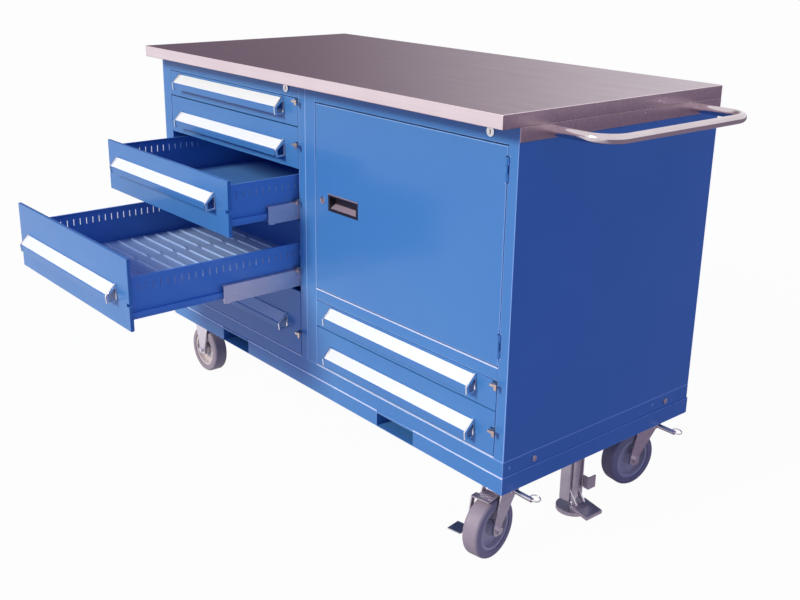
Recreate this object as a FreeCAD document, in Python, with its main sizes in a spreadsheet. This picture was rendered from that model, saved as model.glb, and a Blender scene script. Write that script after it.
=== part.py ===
import FreeCAD, Part
import Sketcher
import math
import os

# Two-bay modular drawer cabinet on casters, in millimetres, +Z up.
# The model is laid out with x = 0 at the seam of the two housings, y = 0 at their front plane
# and z = 0 at the floor. The datum then moves the origin to the middle of the footprint.

SIZES = {
    # where the middle of the footprint lies, seen from the seam and the front plane
    "datum_x": 75,
    "datum_y": 88,
    # housings: sheet steel shells
    "open_w": 686,
    "post_left": 44,
    "post_right": 30,
    "post_deep": 40,
    "cab_d": 705,
    "sheet": 2,
    "sill": 3,
    "top_rail": 41,
    "mid_rail": 31,
    "rail_deep": 24,
    # heights of the drawer fronts, gaps included, and the gap round each front
    "front_76": 76,
    "front_114": 114,
    "front_152": 152,
    "front_190": 190,
    "reveal": 1.5,
    "front_t": 10,
    # trays
    "tray_d": 640,
    "tray_t": 1.5,
    "tray_gap": 16,
    "tray_rise": 26,
    "tray_h_76": 40,
    "tray_h_114": 72,
    "tray_h_deep": 110,
    "hem_w": 6,
    "hem_h": 3,
    "slot_pitch": 20,
    "slot_w": 3,
    "slot_h": 19,
    "slot_drop": 19,
    "slot_first": 23,
    # how far the two open drawers stand out
    "pulled_3": 219,
    "pulled_4": 505,
    # handles on the drawer fronts
    "handle_len": 546,
    "handle_out": 28,
    "handle_drop": 25,
    "handle_h": 42,
    "handle_lip": 2,
    "handle_t": 2,
    "handle_foot": 14,
    "handle_low": 70,
    "handle_high": 108,
    "cap_t": 4,
    "cap_over": 2.5,
    "cap_band": 4.5,
    # roller slides
    "slide_gap": 1.5,
    "carriage_w": 12,
    "carriage_t": 2,
    "carriage_z": 17,
    "carriage_h": 48,
    "carriage_len": 626,
    "carriage_back": 2,
    "roller_r": 11,
    "hold_roller_r": 8,
    "roller_w": 7,
    "roller_in": 14,
    "runner_z": 36,
    "runner_h": 10,
    "runner_w": 8,
    "run_gap": 0.3,
    "rivet_r": 4,
    "rivet_in": 43,
    "rivet_step": 197,
    "channel_t": 2,
    "channel_gap": 1,
    "channel_y": 76,
    "channel_len": 600,
    "bracket_l": 40,
    # drawer latches, one on the cabinet beside each drawer
    "latch_z": 66,
    "latch_w": 8,
    "latch_h": 6,
    "latch_out": 15,
    "latch_pivot_in": 10,
    "latch_pivot_y": 54,
    "latch_arm": 18,
    "latch_pin_r": 3,
    "pin_fit": 0.05,
    "notch_side": 5,
    "notch_gap": 1.5,
    # grooved inserts in the second drawer from below
    "groove_t": 2,
    "groove_pitch": 42,
    "groove_r": 4.5,
    "groove_end": 11,
    "groove_margin": 8,
    "groove_count": 3,
    "groove_clear": 1,
    # door of the right-hand cupboard
    "door_t": 20,
    "door_pull_x": 55.5,
    "door_pull_w": 123,
    "door_pull_h": 45,
    "door_pull_deep": 16,
    "pull_flange": 5,
    "pull_proud": 1.5,
    "pull_wall": 2,
    "door_lock_x": 30.5,
    "door_lock_r": 10,
    "hinge_in": 52,
    "hinge_h": 54,
    "hinge_r": 4,
    "hinge_pin_r": 2,
    "hinge_leaf": 2,
    "hinge_notch": 5,
    "hinge_proud": 2,
    "hinge_gap": 0.3,
    # key locks in the top rails
    "lock_r": 11,
    "lock_plug_r": 7.5,
    "lock_proud": 3,
    "lock_deep": 22,
    "lock_inset": 83,
    "key_w": 2,
    "key_h": 9,
    "key_deep": 4,
    # worktop and the skirt at its right end
    "top_t": 31,
    "top_side": 2,
    "top_front": 54,
    "top_back": 4,
    "top_skin": 1.5,
    "skirt_drop": 32,
    # push handle of bent tube
    "tube_r": 11.1,
    "tube_wall": 1.5,
    "tube_z": 18,
    "tube_near": 107,
    "tube_rear": 85,
    "tube_bend": 60,
    "tube_out": 143,
    # base frame
    "caster_h": 198,
    "band_low": 44,
    "band_high": 38,
    "band_t": 3,
    "band_proud": 2,
    "deck_t": 3,
    "flange_w": 150,
    "fork_in": 308,
    "fork_w": 144,
    "fork_h": 38,
    "fork_wall": 2,
    # casters
    "plate_in": 75,
    "plate_front": 80,
    "plate_w": 114,
    "plate_d": 102,
    "plate_t": 6,
    "race_r": 36,
    "race_h": 10,
    "race_gap": 0.5,
    "crown_w": 66,
    "crown_d": 78,
    "crown_h": 8,
    "trail": 50,
    "yaw_front": 9,
    "yaw_rear": -8,
    "wheel_r": 76,
    "wheel_w": 46,
    "tread_r": 56,
    "shoulder_r": 9,
    "rim_r": 48,
    "rim_in": 3,
    "web_t": 14,
    "boss_r": 18,
    "axle_r": 6,
    "leg_gap": 3,
    "leg_t": 4,
    "leg_eye": 16,
    "nut_h": 8,
    "nut_r": 10,
    # wheel brake on the front right caster
    "brake_w": 42,
    "brake_t": 3,
    "brake_gap": 5,
    "brake_pivot": 30,
    "brake_top": 52,
    "brake_tab": 20,
    "brake_arm": 14,
    "brake_lean": 16,
    "brake_foot_z": 75,
    "brake_foot_w": 37,
    "brake_foot_d": 40,
    "brake_pin_r": 3,
    # swivel locks on the right casters
    "plunger_r": 6,
    "plunger_len": 52,
    "plunger_y": 20,
    "plunger_z": 15,
    "plunger_pin_r": 4,
    "plunger_pin": 14,
    "ring_r": 12,
    "ring_t": 1.5,
    "ring_tilt": 12,
    # floor lock
    "lock_in_x": 75,
    "lock_mid_y": 352.5,
    "lock_plate": 110,
    "lock_plate_t": 5,
    "lock_tube_r": 12,
    "lock_tube_wall": 3,
    "lock_tube_end": 36,
    "lock_rod_gap": 0.3,
    "lock_pad_r": 44,
    "lock_pad_h": 10,
    "lock_cheek_back": 29,
    "lock_cheek_near": 3,
    "lock_cheek_far": 10,
    "lock_cheek_d": 4,
    "lock_cheek_gap": 6,
    "lock_cheek_end": 26,
    "lock_pin_r": 3,
    "pedal_pivot_z": 60,
    "pedal_back": 12,
    "pedal_reach": 26,
    "pedal_len": 58,
    "pedal_w": 60,
    "pedal_t": 3,
    "pedal_lip": 9,
    "pedal_fall": 10,
    "pedal_arm": 12,
    "pedal_drop": 34,
    "release_z": 84,
    "release_in": 5,
    "release_t": 4,
    "release_gap": 1,
    "release_len": 23,
    "release_w": 28,
    "release_rise": 7,
    "release_drop": 27,
    # bolts
    "bolt_r": 8,
    "bolt_head": 5,
    "bolt_in": 102,
    "caster_bolt_r": 7,
    "caster_bolt_in": 12,
}

doc = FreeCAD.newDocument("drawer_cabinet")
sheet = doc.addObject("Spreadsheet::Sheet", "Sizes")
for row, (alias, number) in enumerate(SIZES.items(), start=1):
    sheet.set(f"A{row}", alias)
    sheet.set(f"B{row}", str(number))
    sheet.setAlias(f"B{row}", alias)
doc.recompute()


class Term:
    """A length, angle or count: its number, and the formula that gives it from the sheet."""

    def __init__(self, number, formula):
        self.number = number
        self.formula = formula

    def joined(self, sign, other, number):
        return Term(number, f"({self.formula} {sign} {other.formula})")

    def __add__(self, other):
        other = term(other)
        return self.joined("+", other, self.number + other.number)

    def __sub__(self, other):
        other = term(other)
        return self.joined("-", other, self.number - other.number)

    def __mul__(self, other):
        other = term(other)
        return self.joined("*", other, self.number * other.number)

    def __truediv__(self, other):
        other = term(other)
        return self.joined("/", other, self.number / other.number)

    def __neg__(self):
        return Term(-self.number, f"(0 - {self.formula})")

    def __radd__(self, other):
        return term(other) + self

    def __rsub__(self, other):
        return term(other) - self

    def __rmul__(self, other):
        return term(other) * self


def term(value):
    return value if isinstance(value, Term) else Term(value, repr(value))


def whole(value):
    """The whole number below a term."""
    return Term(math.floor(value.number), f"floor({value.formula})")


class Sheet:
    """Gives each named size of the sheet as a term."""

    def __getattr__(self, alias):
        return Term(float(sheet.get(alias)), f"Sizes.{alias}")


S = Sheet()


def bind(thing, prop, value):
    """Ties a property to its formula in the sheet."""
    thing.setExpression(prop, term(value).formula)


def move_to(thing, x=0, y=0, z=0):
    for axis, value in zip("xyz", (x, y, z)):
        bind(thing, f"Placement.Base.{axis}", value)
    return thing


def block(name, x, y, z):
    """A rectangular piece between a low and a high limit along each axis."""
    box = doc.addObject("Part::Box", name)
    for prop, (low, high) in zip(("Length", "Width", "Height"), (x, y, z)):
        bind(box, prop, term(high) - low)
    return move_to(box, x[0], y[0], z[0])


TURNS = {
    "x": FreeCAD.Rotation(FreeCAD.Vector(0, 1, 0), 90),
    "y": FreeCAD.Rotation(FreeCAD.Vector(1, 0, 0), -90),
    "z": FreeCAD.Rotation(),
}


def rod(name, axis, radius, length, x, y, z):
    """A round piece that starts at x, y, z and runs along an axis."""
    round_bar = doc.addObject("Part::Cylinder", name)
    round_bar.Placement.Rotation = TURNS[axis]
    bind(round_bar, "Radius", radius)
    bind(round_bar, "Height", length)
    return move_to(round_bar, x, y, z)


def hexagon(name, axis, radius, length, x, y, z):
    """A hexagonal head or nut, sized across its corners."""
    head = doc.addObject("Part::Prism", name)
    head.Polygon = 6
    head.Placement.Rotation = TURNS[axis]
    bind(head, "Circumradius", radius)
    bind(head, "Height", length)
    return move_to(head, x, y, z)


def cut(name, base, *tools):
    piece = base
    for number, tool in enumerate(tools, start=1):
        result = doc.addObject("Part::Cut", f"{name}_cut_{number}")
        result.Base = piece
        result.Tool = tool
        piece = result
    return piece


def fuse(name, *pieces):
    joined = doc.addObject("Part::MultiFuse", name)
    joined.Shapes = list(pieces)
    return joined


def mirrored(name, source, x):
    """The same piece on the other side of the plane at x."""
    twin = doc.addObject("Part::Mirroring", name)
    twin.Source = source
    twin.Normal = FreeCAD.Vector(1, 0, 0)
    bind(twin, "Base.x", x)
    return twin


NODES = []


def node(label, pieces, x=0, y=0, z=0, yaw=None):
    """One sub-part of the cabinet, moved from the layout's datum to the model's origin."""
    part = doc.addObject("Part::Compound", label)
    part.Label = label
    part.Links = pieces
    if yaw is not None:
        part.Placement.Rotation = FreeCAD.Rotation(FreeCAD.Vector(0, 0, 1), yaw.number)
        bind(part, "Placement.Rotation.Angle", yaw)
    move_to(part, term(x) - S.datum_x, term(y) - S.datum_y, z)
    NODES.append(part)
    return part


def plane_of(body, role):
    return next(f for f in body.Origin.OriginFeatures if f.Role == role)


def outline(body, role, name, corners):
    """A closed sketch with straight sides. Both coordinates of each corner follow the sheet."""
    sketch = body.newObject("Sketcher::SketchObject", name)
    sketch.AttachmentSupport = [(plane_of(body, role), "")]
    sketch.MapMode = "FlatFace"
    points = [FreeCAD.Vector(term(u).number, term(v).number, 0) for u, v in corners]
    for start, end in zip(points, points[1:] + points[:1]):
        sketch.addGeometry(Part.LineSegment(start, end), False)
    for side in range(len(points)):
        following = (side + 1) % len(points)
        sketch.addConstraint(Sketcher.Constraint("Coincident", side, 2, following, 1))
    for side, (u, v) in enumerate(corners):
        for kind, value in (("DistanceX", term(u)), ("DistanceY", term(v))):
            rule = Sketcher.Constraint(kind, -1, 1, side, 1, value.number)
            number = sketch.addConstraint(rule)
            bind(sketch, f"Constraints[{number}]", value)
    return sketch


def pad(body, sketch, length, reverse=False):
    solid = body.newObject("PartDesign::Pad", f"{sketch.Name}_pad")
    solid.Profile = sketch
    solid.Reversed = reverse
    bind(solid, "Length", length)
    return solid


def prism(name, role, corners, length, x=0, y=0, z=0, reverse=False):
    """A body of one constant section, drawn on an origin plane and moved to its place."""
    body = doc.addObject("PartDesign::Body", name)
    pad(body, outline(body, role, f"{name}_section", corners), length, reverse)
    return move_to(body, x, y, z)


def turned(name, corners, x=0, y=0, z=0):
    """A body turned about its own X axis. Corners are distance along and radius."""
    body = doc.addObject("PartDesign::Body", name)
    sketch = outline(body, "XY_Plane", f"{name}_section", corners)
    turn = body.newObject("PartDesign::Revolution", f"{name}_turn")
    turn.Profile = sketch
    turn.ReferenceAxis = (sketch, ["H_Axis"])
    turn.Angle = 360
    return move_to(body, x, y, z)


def row_along_y(body, feature, pitch, count):
    """Repeats a feature of a body along Y."""
    row = body.newObject("PartDesign::LinearPattern", f"{feature.Name}_row")
    row.Originals = [feature]
    row.Direction = (plane_of(body, "Y_Axis"), [""])
    bind(row, "Length", pitch * (count - 1))
    bind(row, "Occurrences", count)
    body.Tip = row
    return row



# Levels and limits that several pieces share
BASE_Z = S.caster_h
BAND_Z = BASE_Z + S.band_low
CAB_Z = BAND_Z + S.band_high
OPEN_Z = CAB_Z + S.sill
STACK = S.front_76 + S.front_114 + S.front_152 + S.front_190 * 2
OPEN_TOP = OPEN_Z + STACK
CAB_TOP = OPEN_TOP + S.top_rail
TOP_Z = CAB_TOP + S.top_t
CAB_W = S.post_left + S.open_w + S.post_right
RIGHT_DRAWERS = S.front_114 + S.front_76
DOOR_Z = OPEN_Z + RIGHT_DRAWERS + S.mid_rail


def opening(side):
    """Low and high x of the opening of the left or right housing."""
    low = S.post_left - CAB_W if side == "left" else S.post_left
    return low, low + S.open_w


def lock_place(side):
    x = -S.lock_inset if side == "left" else CAB_W - S.lock_inset
    return x, OPEN_TOP + S.top_rail / 2


def housing(side):
    """Sheet steel shell: walls, back, floor, roof, folded posts and a top rail with its lock."""
    x0, x1 = opening(side)
    low, high = x0 - S.post_left, x1 + S.post_right
    t = S.sheet
    name = f"{side}_housing"
    inner = (low + t, high - t)
    lock_x, lock_z = lock_place(side)
    top_face = block(f"{name}_top_face", (x0, x1), (0, t), (OPEN_TOP, CAB_TOP - t))
    lock_hole = rod(f"{name}_lock_hole", "y", S.lock_plug_r + S.lock_plug_r / 5, t * 3,
                    lock_x, -t, lock_z)
    right_face = block(f"{name}_right_post", (x1, high), (0, t), (CAB_Z, CAB_TOP - t))
    right_fold = block(f"{name}_right_fold", (x1, x1 + t), (t, S.post_deep),
                       (OPEN_Z, CAB_TOP - t))
    if side == "right":
        notches = [hinge_notch(f"{name}_{where}_notch", where, "post") for where in HINGES]
        right_face = cut(f"{name}_right_post", right_face, *notches)
        right_fold = cut(f"{name}_right_fold", right_fold, *notches)
    pieces = [
        block(f"{name}_left_wall", (low, low + t), (t, S.cab_d), (CAB_Z, CAB_TOP - t)),
        block(f"{name}_right_wall", (high - t, high), (t, S.cab_d), (CAB_Z, CAB_TOP - t)),
        block(f"{name}_back", inner, (S.cab_d - t, S.cab_d), (OPEN_Z, CAB_TOP - t)),
        block(f"{name}_floor", inner, (t, S.cab_d), (CAB_Z, OPEN_Z)),
        block(f"{name}_sill", (x0, x1), (0, t), (CAB_Z, OPEN_Z)),
        block(f"{name}_roof", (low, high), (0, S.cab_d), (CAB_TOP - t, CAB_TOP)),
        block(f"{name}_left_post", (low, x0), (0, t), (CAB_Z, CAB_TOP - t)),
        block(f"{name}_left_fold", (x0 - t, x0), (t, S.post_deep), (OPEN_Z, CAB_TOP - t)),
        right_face,
        right_fold,
        cut(f"{name}_top_face", top_face, lock_hole),
        block(f"{name}_top_fold", (x0, x1), (t, S.rail_deep), (OPEN_TOP, OPEN_TOP + t)),
        bezel(side),
    ]
    if side == "right":
        floor_z = DOOR_Z - t
        pieces += [
            block("mid_rail_face", (x0, x1), (0, t), (DOOR_Z - S.mid_rail, DOOR_Z)),
            block("mid_rail_fold", (x0, x1), (t, S.rail_deep),
                  (DOOR_Z - S.mid_rail, DOOR_Z - S.mid_rail + t)),
            block("cupboard_floor", (x0, x1), (t, S.post_deep), (floor_z, DOOR_Z)),
            block("cupboard_floor_back", inner, (S.post_deep, S.cab_d - t), (floor_z, DOOR_Z)),
        ]
    node(name, pieces)


def bezel(side):
    """The fixed ring of a key lock, seated in the top rail."""
    x, z = lock_place(side)
    name = f"{side}_lock_ring"
    bore = S.lock_plug_r + S.pin_fit
    flange = rod(name, "y", S.lock_r, S.lock_proud, x, -S.lock_proud, z)
    hole = rod(f"{name}_bore", "y", bore, S.lock_proud * 3, x, -S.lock_proud * 2, z)
    return cut(name, flange, hole)


def key_lock(side):
    """The turning plug of a key lock with its keyway and the cam behind the rail."""
    x, z = lock_place(side)
    name = f"{side}_key_lock"
    plug = rod(f"{name}_plug", "y", S.lock_plug_r, S.lock_deep, x, -S.lock_proud, z)
    keyway = block(f"{name}_keyway", (x - S.key_w / 2, x + S.key_w / 2),
                   (-S.lock_proud * 2, S.key_deep - S.lock_proud),
                   (z - S.key_h / 2, z + S.key_h / 2))
    back = S.lock_deep - S.lock_proud
    cam = block(f"{name}_cam", (x - S.lock_plug_r, x + S.lock_plug_r),
                (back, back + S.sheet), (z - S.lock_plug_r, z + S.lock_plug_r * 2))
    node(name, [cut(name, plug, keyway), cam])


# Hinges of the cupboard door, both on the right edge of the opening
HINGES = ("upper", "lower")


def hinge_axis():
    """The hinge line stands in the gap beside the door, just before the front plane."""
    return opening("right")[1] - S.reveal / 2, -S.hinge_proud


def hinge_middle(where):
    return OPEN_TOP - S.hinge_in if where == "upper" else DOOR_Z + S.hinge_in


def hinge_notch(name, where, owner):
    """The notch in the edge of the post or the door that makes room for the leaves."""
    edge = opening("right")[1]
    middle = hinge_middle(where)
    half = S.hinge_h / 2 + S.reveal
    if owner == "post":
        across = (edge - S.reveal, edge + S.hinge_notch)
    else:
        across = (edge - S.reveal - S.hinge_notch, edge)
    return block(name, across, (-S.door_t, S.door_t * 2), (middle - half, middle + half))


def knuckle(name, z_low, height, toward):
    """A rolled knuckle with the leaf that carries it, toward the post or the door."""
    x, y = hinge_axis()
    edge = opening("right")[1]
    leaf = S.hinge_leaf
    tube = rod(f"{name}_tube", "z", S.hinge_r, height, x, y, z_low)
    if toward == "post":
        far = edge + S.hinge_notch
        web_x, plate_x = (x, far), (far - leaf, far)
    else:
        far = edge - S.reveal - S.hinge_notch
        web_x, plate_x = (far, x), (far, far + leaf)
    z = (z_low, z_low + height)
    web = block(f"{name}_web", web_x, (y - leaf / 2, y + leaf / 2), z)
    plate = block(f"{name}_leaf", plate_x, (y - leaf / 2, S.door_t - S.sheet), z)
    bore = rod(f"{name}_bore", "z", S.hinge_pin_r + S.pin_fit, height * 3, x, y,
               z_low - height)
    return cut(name, fuse(f"{name}_whole", tube, web, plate), bore)


def door_hinges():
    """Fixed halves: two outer knuckles and the pin of each hinge."""
    x, y = hinge_axis()
    third = S.hinge_h / 3
    pieces = []
    for where in HINGES:
        low = hinge_middle(where) - S.hinge_h / 2
        pin_r = S.hinge_pin_r
        pieces += [
            knuckle(f"hinge_{where}_bottom", low, third - S.hinge_gap, "post"),
            knuckle(f"hinge_{where}_top", low + third * 2 + S.hinge_gap,
                    third - S.hinge_gap, "post"),
            rod(f"hinge_{where}_pin", "z", pin_r, S.hinge_h, x, y, low),
        ]
    node("door_hinges", pieces)


def door_limits():
    """Low and high x, and low and high z, of the door."""
    x0, x1 = opening("right")
    return (x0 + S.reveal, x1 - S.reveal), (DOOR_Z + S.reveal * 2, OPEN_TOP - S.reveal * 2)


def pull_limits():
    (x0, _), (z0, z1) = door_limits()
    low = x0 + S.door_pull_x
    middle = (z0 + z1) / 2
    half = S.door_pull_h / 2
    return (low, low + S.door_pull_w), (middle - half, middle + half)


def door_lock_place():
    (x0, _), (z0, z1) = door_limits()
    return x0 + S.door_lock_x, (z0 + z1) / 2


def door():
    """Inset door with its recessed pull, its lock and the moving halves of the hinges."""
    across, up = door_limits()
    (px0, px1), (pz0, pz1) = pull_limits()
    rim, wall, deep = S.pull_flange, S.pull_wall, S.door_pull_deep
    lx, lz = door_lock_place()
    slab = block("door_slab", across, (0, S.door_t), up)
    hole = block("door_pull_hole", (px0 + rim, px1 - rim), (-S.door_t, S.door_t * 2),
                 (pz0 + rim, pz1 - rim))
    lock_hole = rod("door_lock_hole", "y", S.lock_plug_r + S.pin_fit, S.door_t * 3,
                    lx, -S.door_t, lz)
    notches = [hinge_notch(f"door_{where}_notch", where, "door") for where in HINGES]
    third = S.hinge_h / 3
    moving = [
        knuckle(f"hinge_{where}_middle",
                hinge_middle(where) - S.hinge_h / 6 + S.hinge_gap / 2,
                third - S.hinge_gap, "door")
        for where in HINGES
    ]
    ring = rod("door_lock_ring", "y", S.door_lock_r, S.pull_proud, lx, -S.pull_proud, lz)
    ring_bore = rod("door_lock_ring_bore", "y", S.lock_plug_r + S.pin_fit, S.door_t,
                    lx, -S.door_t / 2, lz)
    node("door_panel", [
        cut("door_panel", slab, hole, lock_hole, *notches),
        cut("door_lock_ring", ring, ring_bore),
        *moving,
    ])
    flange = block("pull_flange_plate", (px0, px1), (-S.pull_proud, 0), (pz0, pz1))
    shell = block("pull_shell", (px0 + rim, px1 - rim), (0, deep + wall),
                  (pz0 + rim, pz1 - rim))
    hollow = block("pull_hollow", (px0 + rim + wall, px1 - rim - wall),
                   (-S.pull_proud * 2, deep), (pz0 + rim + wall, pz1 - rim - wall))
    node("door_pull", [cut("pull_cup", fuse("pull_whole", flange, shell), hollow)])
    plug = rod("door_lock_plug", "y", S.lock_plug_r, S.door_t + S.pull_proud * 2,
               lx, -S.pull_proud, lz)
    keyway = block("door_lock_keyway", (lx - S.key_w / 2, lx + S.key_w / 2),
                   (-S.door_t, S.key_deep - S.pull_proud),
                   (lz - S.key_h / 2, lz + S.key_h / 2))
    behind = S.door_t + S.pull_proud
    cam = block("door_lock_cam", (lx - S.lock_plug_r, lx + S.lock_plug_r),
                (behind, behind + S.sheet), (lz - S.lock_plug_r, lz + S.lock_plug_r * 2))
    node("door_lock", [cut("door_lock_keyed", plug, keyway), cam])


class Drawer:
    """Where one drawer is: its housing, the level of its floor, its front and its tray."""

    def __init__(self, side, number, z, front, tray, handle_top, pulled=0):
        self.side = side
        self.name = f"{side}_drawer_{number}"
        self.x0, self.x1 = opening(side)
        self.z = z
        self.front = front
        self.tray = tray
        self.handle_top = handle_top
        self.pulled = term(pulled)
        self.middle = (self.x0 + self.x1) / 2


def stacked(side, rows):
    """Drawers from the bottom row up. The numbers count from the top."""
    level = OPEN_Z
    drawers = []
    for number, (front, tray, handle_top, pulled) in zip(range(len(rows), 0, -1), rows):
        drawers.append(Drawer(side, number, level, front, tray, handle_top, pulled))
        level = level + front
    return drawers


DRAWERS = stacked("left", [
    (S.front_190, S.tray_h_deep, S.handle_high, 0),
    (S.front_190, S.tray_h_deep, S.handle_high, S.pulled_4),
    (S.front_152, S.tray_h_deep, S.handle_high, S.pulled_3),
    (S.front_114, S.tray_h_114, S.handle_low, 0),
    (S.front_76, S.tray_h_76, S.handle_low, 0),
]) + stacked("right", [
    (S.front_114, S.tray_h_114, S.handle_low, 0),
    (S.front_76, S.tray_h_76, S.handle_low, 0),
])


def tray_side(drawer):
    """The right wall of a tray with its hemmed top edge and its row of divider slots."""
    name = f"{drawer.name}_side"
    t, height = S.tray_t, drawer.tray
    body = prism(name, "XZ_Plane", [
        (0, 0),
        (0, height),
        (-S.hem_w, height),
        (-S.hem_w, height - S.hem_h),
        (-t, height - S.hem_h),
        (-t, 0),
    ], S.tray_d, drawer.x1 - S.tray_gap, S.front_t, drawer.z + S.tray_rise, reverse=True)
    top = height - S.slot_drop
    if top.number - S.slot_h.number > S.slot_drop.number / 2:
        sketch = outline(body, "YZ_Plane", f"{name}_slot", [
            (S.slot_first, top),
            (S.slot_first + S.slot_w, top),
            (S.slot_first + S.slot_w, top - S.slot_h),
            (S.slot_first, top - S.slot_h),
        ])
        slot = body.newObject("PartDesign::Pocket", f"{name}_slot_cut")
        slot.Profile = sketch
        slot.Type = "ThroughAll"
        slot.Midplane = True
        count = whole((S.tray_d - S.slot_first * 2) / S.slot_pitch) + 1
        row_along_y(body, slot, S.slot_pitch, count)
    return body


def tray(drawer):
    """Folded steel tray, its front with the notch for the latch, and its two runners."""
    name = drawer.name
    x0, x1 = drawer.x0 + S.tray_gap, drawer.x1 - S.tray_gap
    t, z = S.tray_t, drawer.z + S.tray_rise
    y0, y1 = S.front_t, S.front_t + S.tray_d
    right = tray_side(drawer)
    runner = block(f"{name}_runner", (x1, x1 + S.runner_w), (y0, y1),
                   (drawer.z + S.runner_z, drawer.z + S.runner_z + S.runner_h))
    slab = block(f"{name}_front_slab", (drawer.x0 + S.reveal, drawer.x1 - S.reveal),
                 (0, S.front_t), (drawer.z + S.reveal, drawer.z + drawer.front - S.reveal))
    notch_z = drawer.z + S.latch_z - S.notch_gap
    notch = block(f"{name}_notch",
                  (drawer.x1 - S.reveal - S.latch_w - S.notch_side, drawer.x1),
                  (-S.front_t, S.front_t * 2), (notch_z, notch_z + S.latch_h + S.notch_gap * 2))
    node(name, [
        block(f"{name}_floor", (x0 + t, x1 - t), (y0, y1), (z, z + t)),
        block(f"{name}_back", (x0 + t, x1 - t), (y1 - t, y1),
              (z + t, z + drawer.tray - S.hem_h)),
        right,
        mirrored(f"{name}_left_side", right, drawer.middle),
        cut(f"{name}_front", slab, notch),
        runner,
        mirrored(f"{name}_left_runner", runner, drawer.middle),
    ], y=-drawer.pulled)


def handle(drawer):
    """Label-holder handle: a bent extrusion, open below, between two looped end caps."""
    name = drawer.name.replace("drawer", "handle")
    t, out, top = S.handle_t, S.handle_out, drawer.z + drawer.handle_top
    low = -S.handle_h
    half = S.handle_len / 2
    lip = out - S.handle_lip
    bar = prism(name + "_bar", "YZ_Plane", [
        (0, 0),
        (-out, -S.handle_drop),
        (-lip, low),
        (t - lip, low),
        (t - out, t - S.handle_drop - t / 2),
        (-t, -t * 2),
        (-t, -S.handle_foot),
        (0, -S.handle_foot),
    ], S.handle_len, drawer.middle - half, 0, top)
    over, band = S.cap_over, S.cap_band
    caps = []
    for end in ("left", "right"):
        x = drawer.middle - half - S.cap_t if end == "left" else drawer.middle + half
        outer = prism(f"{name}_{end}_cap", "YZ_Plane", [
            (0, over),
            (-S.cap_band, over),
            (-out - over, -S.handle_drop),
            (-lip - over, low - over),
            (0, low - over),
        ], S.cap_t, x, 0, top)
        inner = prism(f"{name}_{end}_eye", "YZ_Plane", [
            (-band / 2, -band * 2),
            (over + band / 2 - out, -S.handle_drop - band / 4),
            (over + band / 2 - lip, low - over + band),
            (-band / 2, low - over + band),
        ], S.cap_t * 3, x - S.cap_t, 0, top)
        caps.append(cut(f"{name}_{end}_loop", outer, inner))
    node(name, [bar, *caps], y=-drawer.pulled)


def carriage_limits(drawer):
    """Low and high x of the right carriage member, and its front and rear ends."""
    high = drawer.x1 - S.slide_gap
    front = S.front_t + S.carriage_back
    return (high - S.carriage_w, high), (front, front + S.carriage_len)


def carriage(drawer):
    """The pair of middle slide members with their rollers and rivets."""
    name = drawer.name.replace("drawer", "carriage")
    (x0, x1), (y0, y1) = carriage_limits(drawer)
    t, z = S.carriage_t, drawer.z + S.carriage_z
    top = z + S.carriage_h
    runner_low = drawer.z + S.runner_z
    runner_top = runner_low + S.runner_h
    roller_z = runner_low - S.run_gap - S.roller_r
    hold_z = runner_top + S.run_gap + S.hold_roller_r
    roller_y = y0 + S.roller_in
    hold_y = y0 + S.rivet_in + S.rivet_step
    roller_x = x1 - t - S.roller_w - S.run_gap
    pin = S.hinge_pin_r
    pieces = [
        block(f"{name}_web", (x1 - t, x1), (y0, y1), (z, top)),
        block(f"{name}_top", (x0, x1 - t), (y0, y1), (top - t, top)),
        block(f"{name}_low", (x0, x1 - t), (roller_y + S.roller_r * 1.5, y1), (z, z + t)),
        rod(f"{name}_roller", "x", S.roller_r, S.roller_w, roller_x, roller_y, roller_z),
        rod(f"{name}_roller_pin", "x", pin, S.run_gap, x1 - t - S.run_gap, roller_y, roller_z),
        rod(f"{name}_hold_roller", "x", S.hold_roller_r, S.roller_w, roller_x, hold_y, hold_z),
        rod(f"{name}_hold_pin", "x", pin, S.run_gap, x1 - t - S.run_gap, hold_y, hold_z),
    ]
    for number in range(3):
        pieces.append(rod(f"{name}_rivet_{number}", "x", S.rivet_r, S.slide_gap / 2, x1,
                          y0 + S.rivet_in + S.rivet_step * number, z + S.carriage_h / 2))
    twins = [mirrored(f"{piece.Name}_left", piece, drawer.middle) for piece in pieces]
    node(name, pieces + twins, y=-drawer.pulled / 2)


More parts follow.
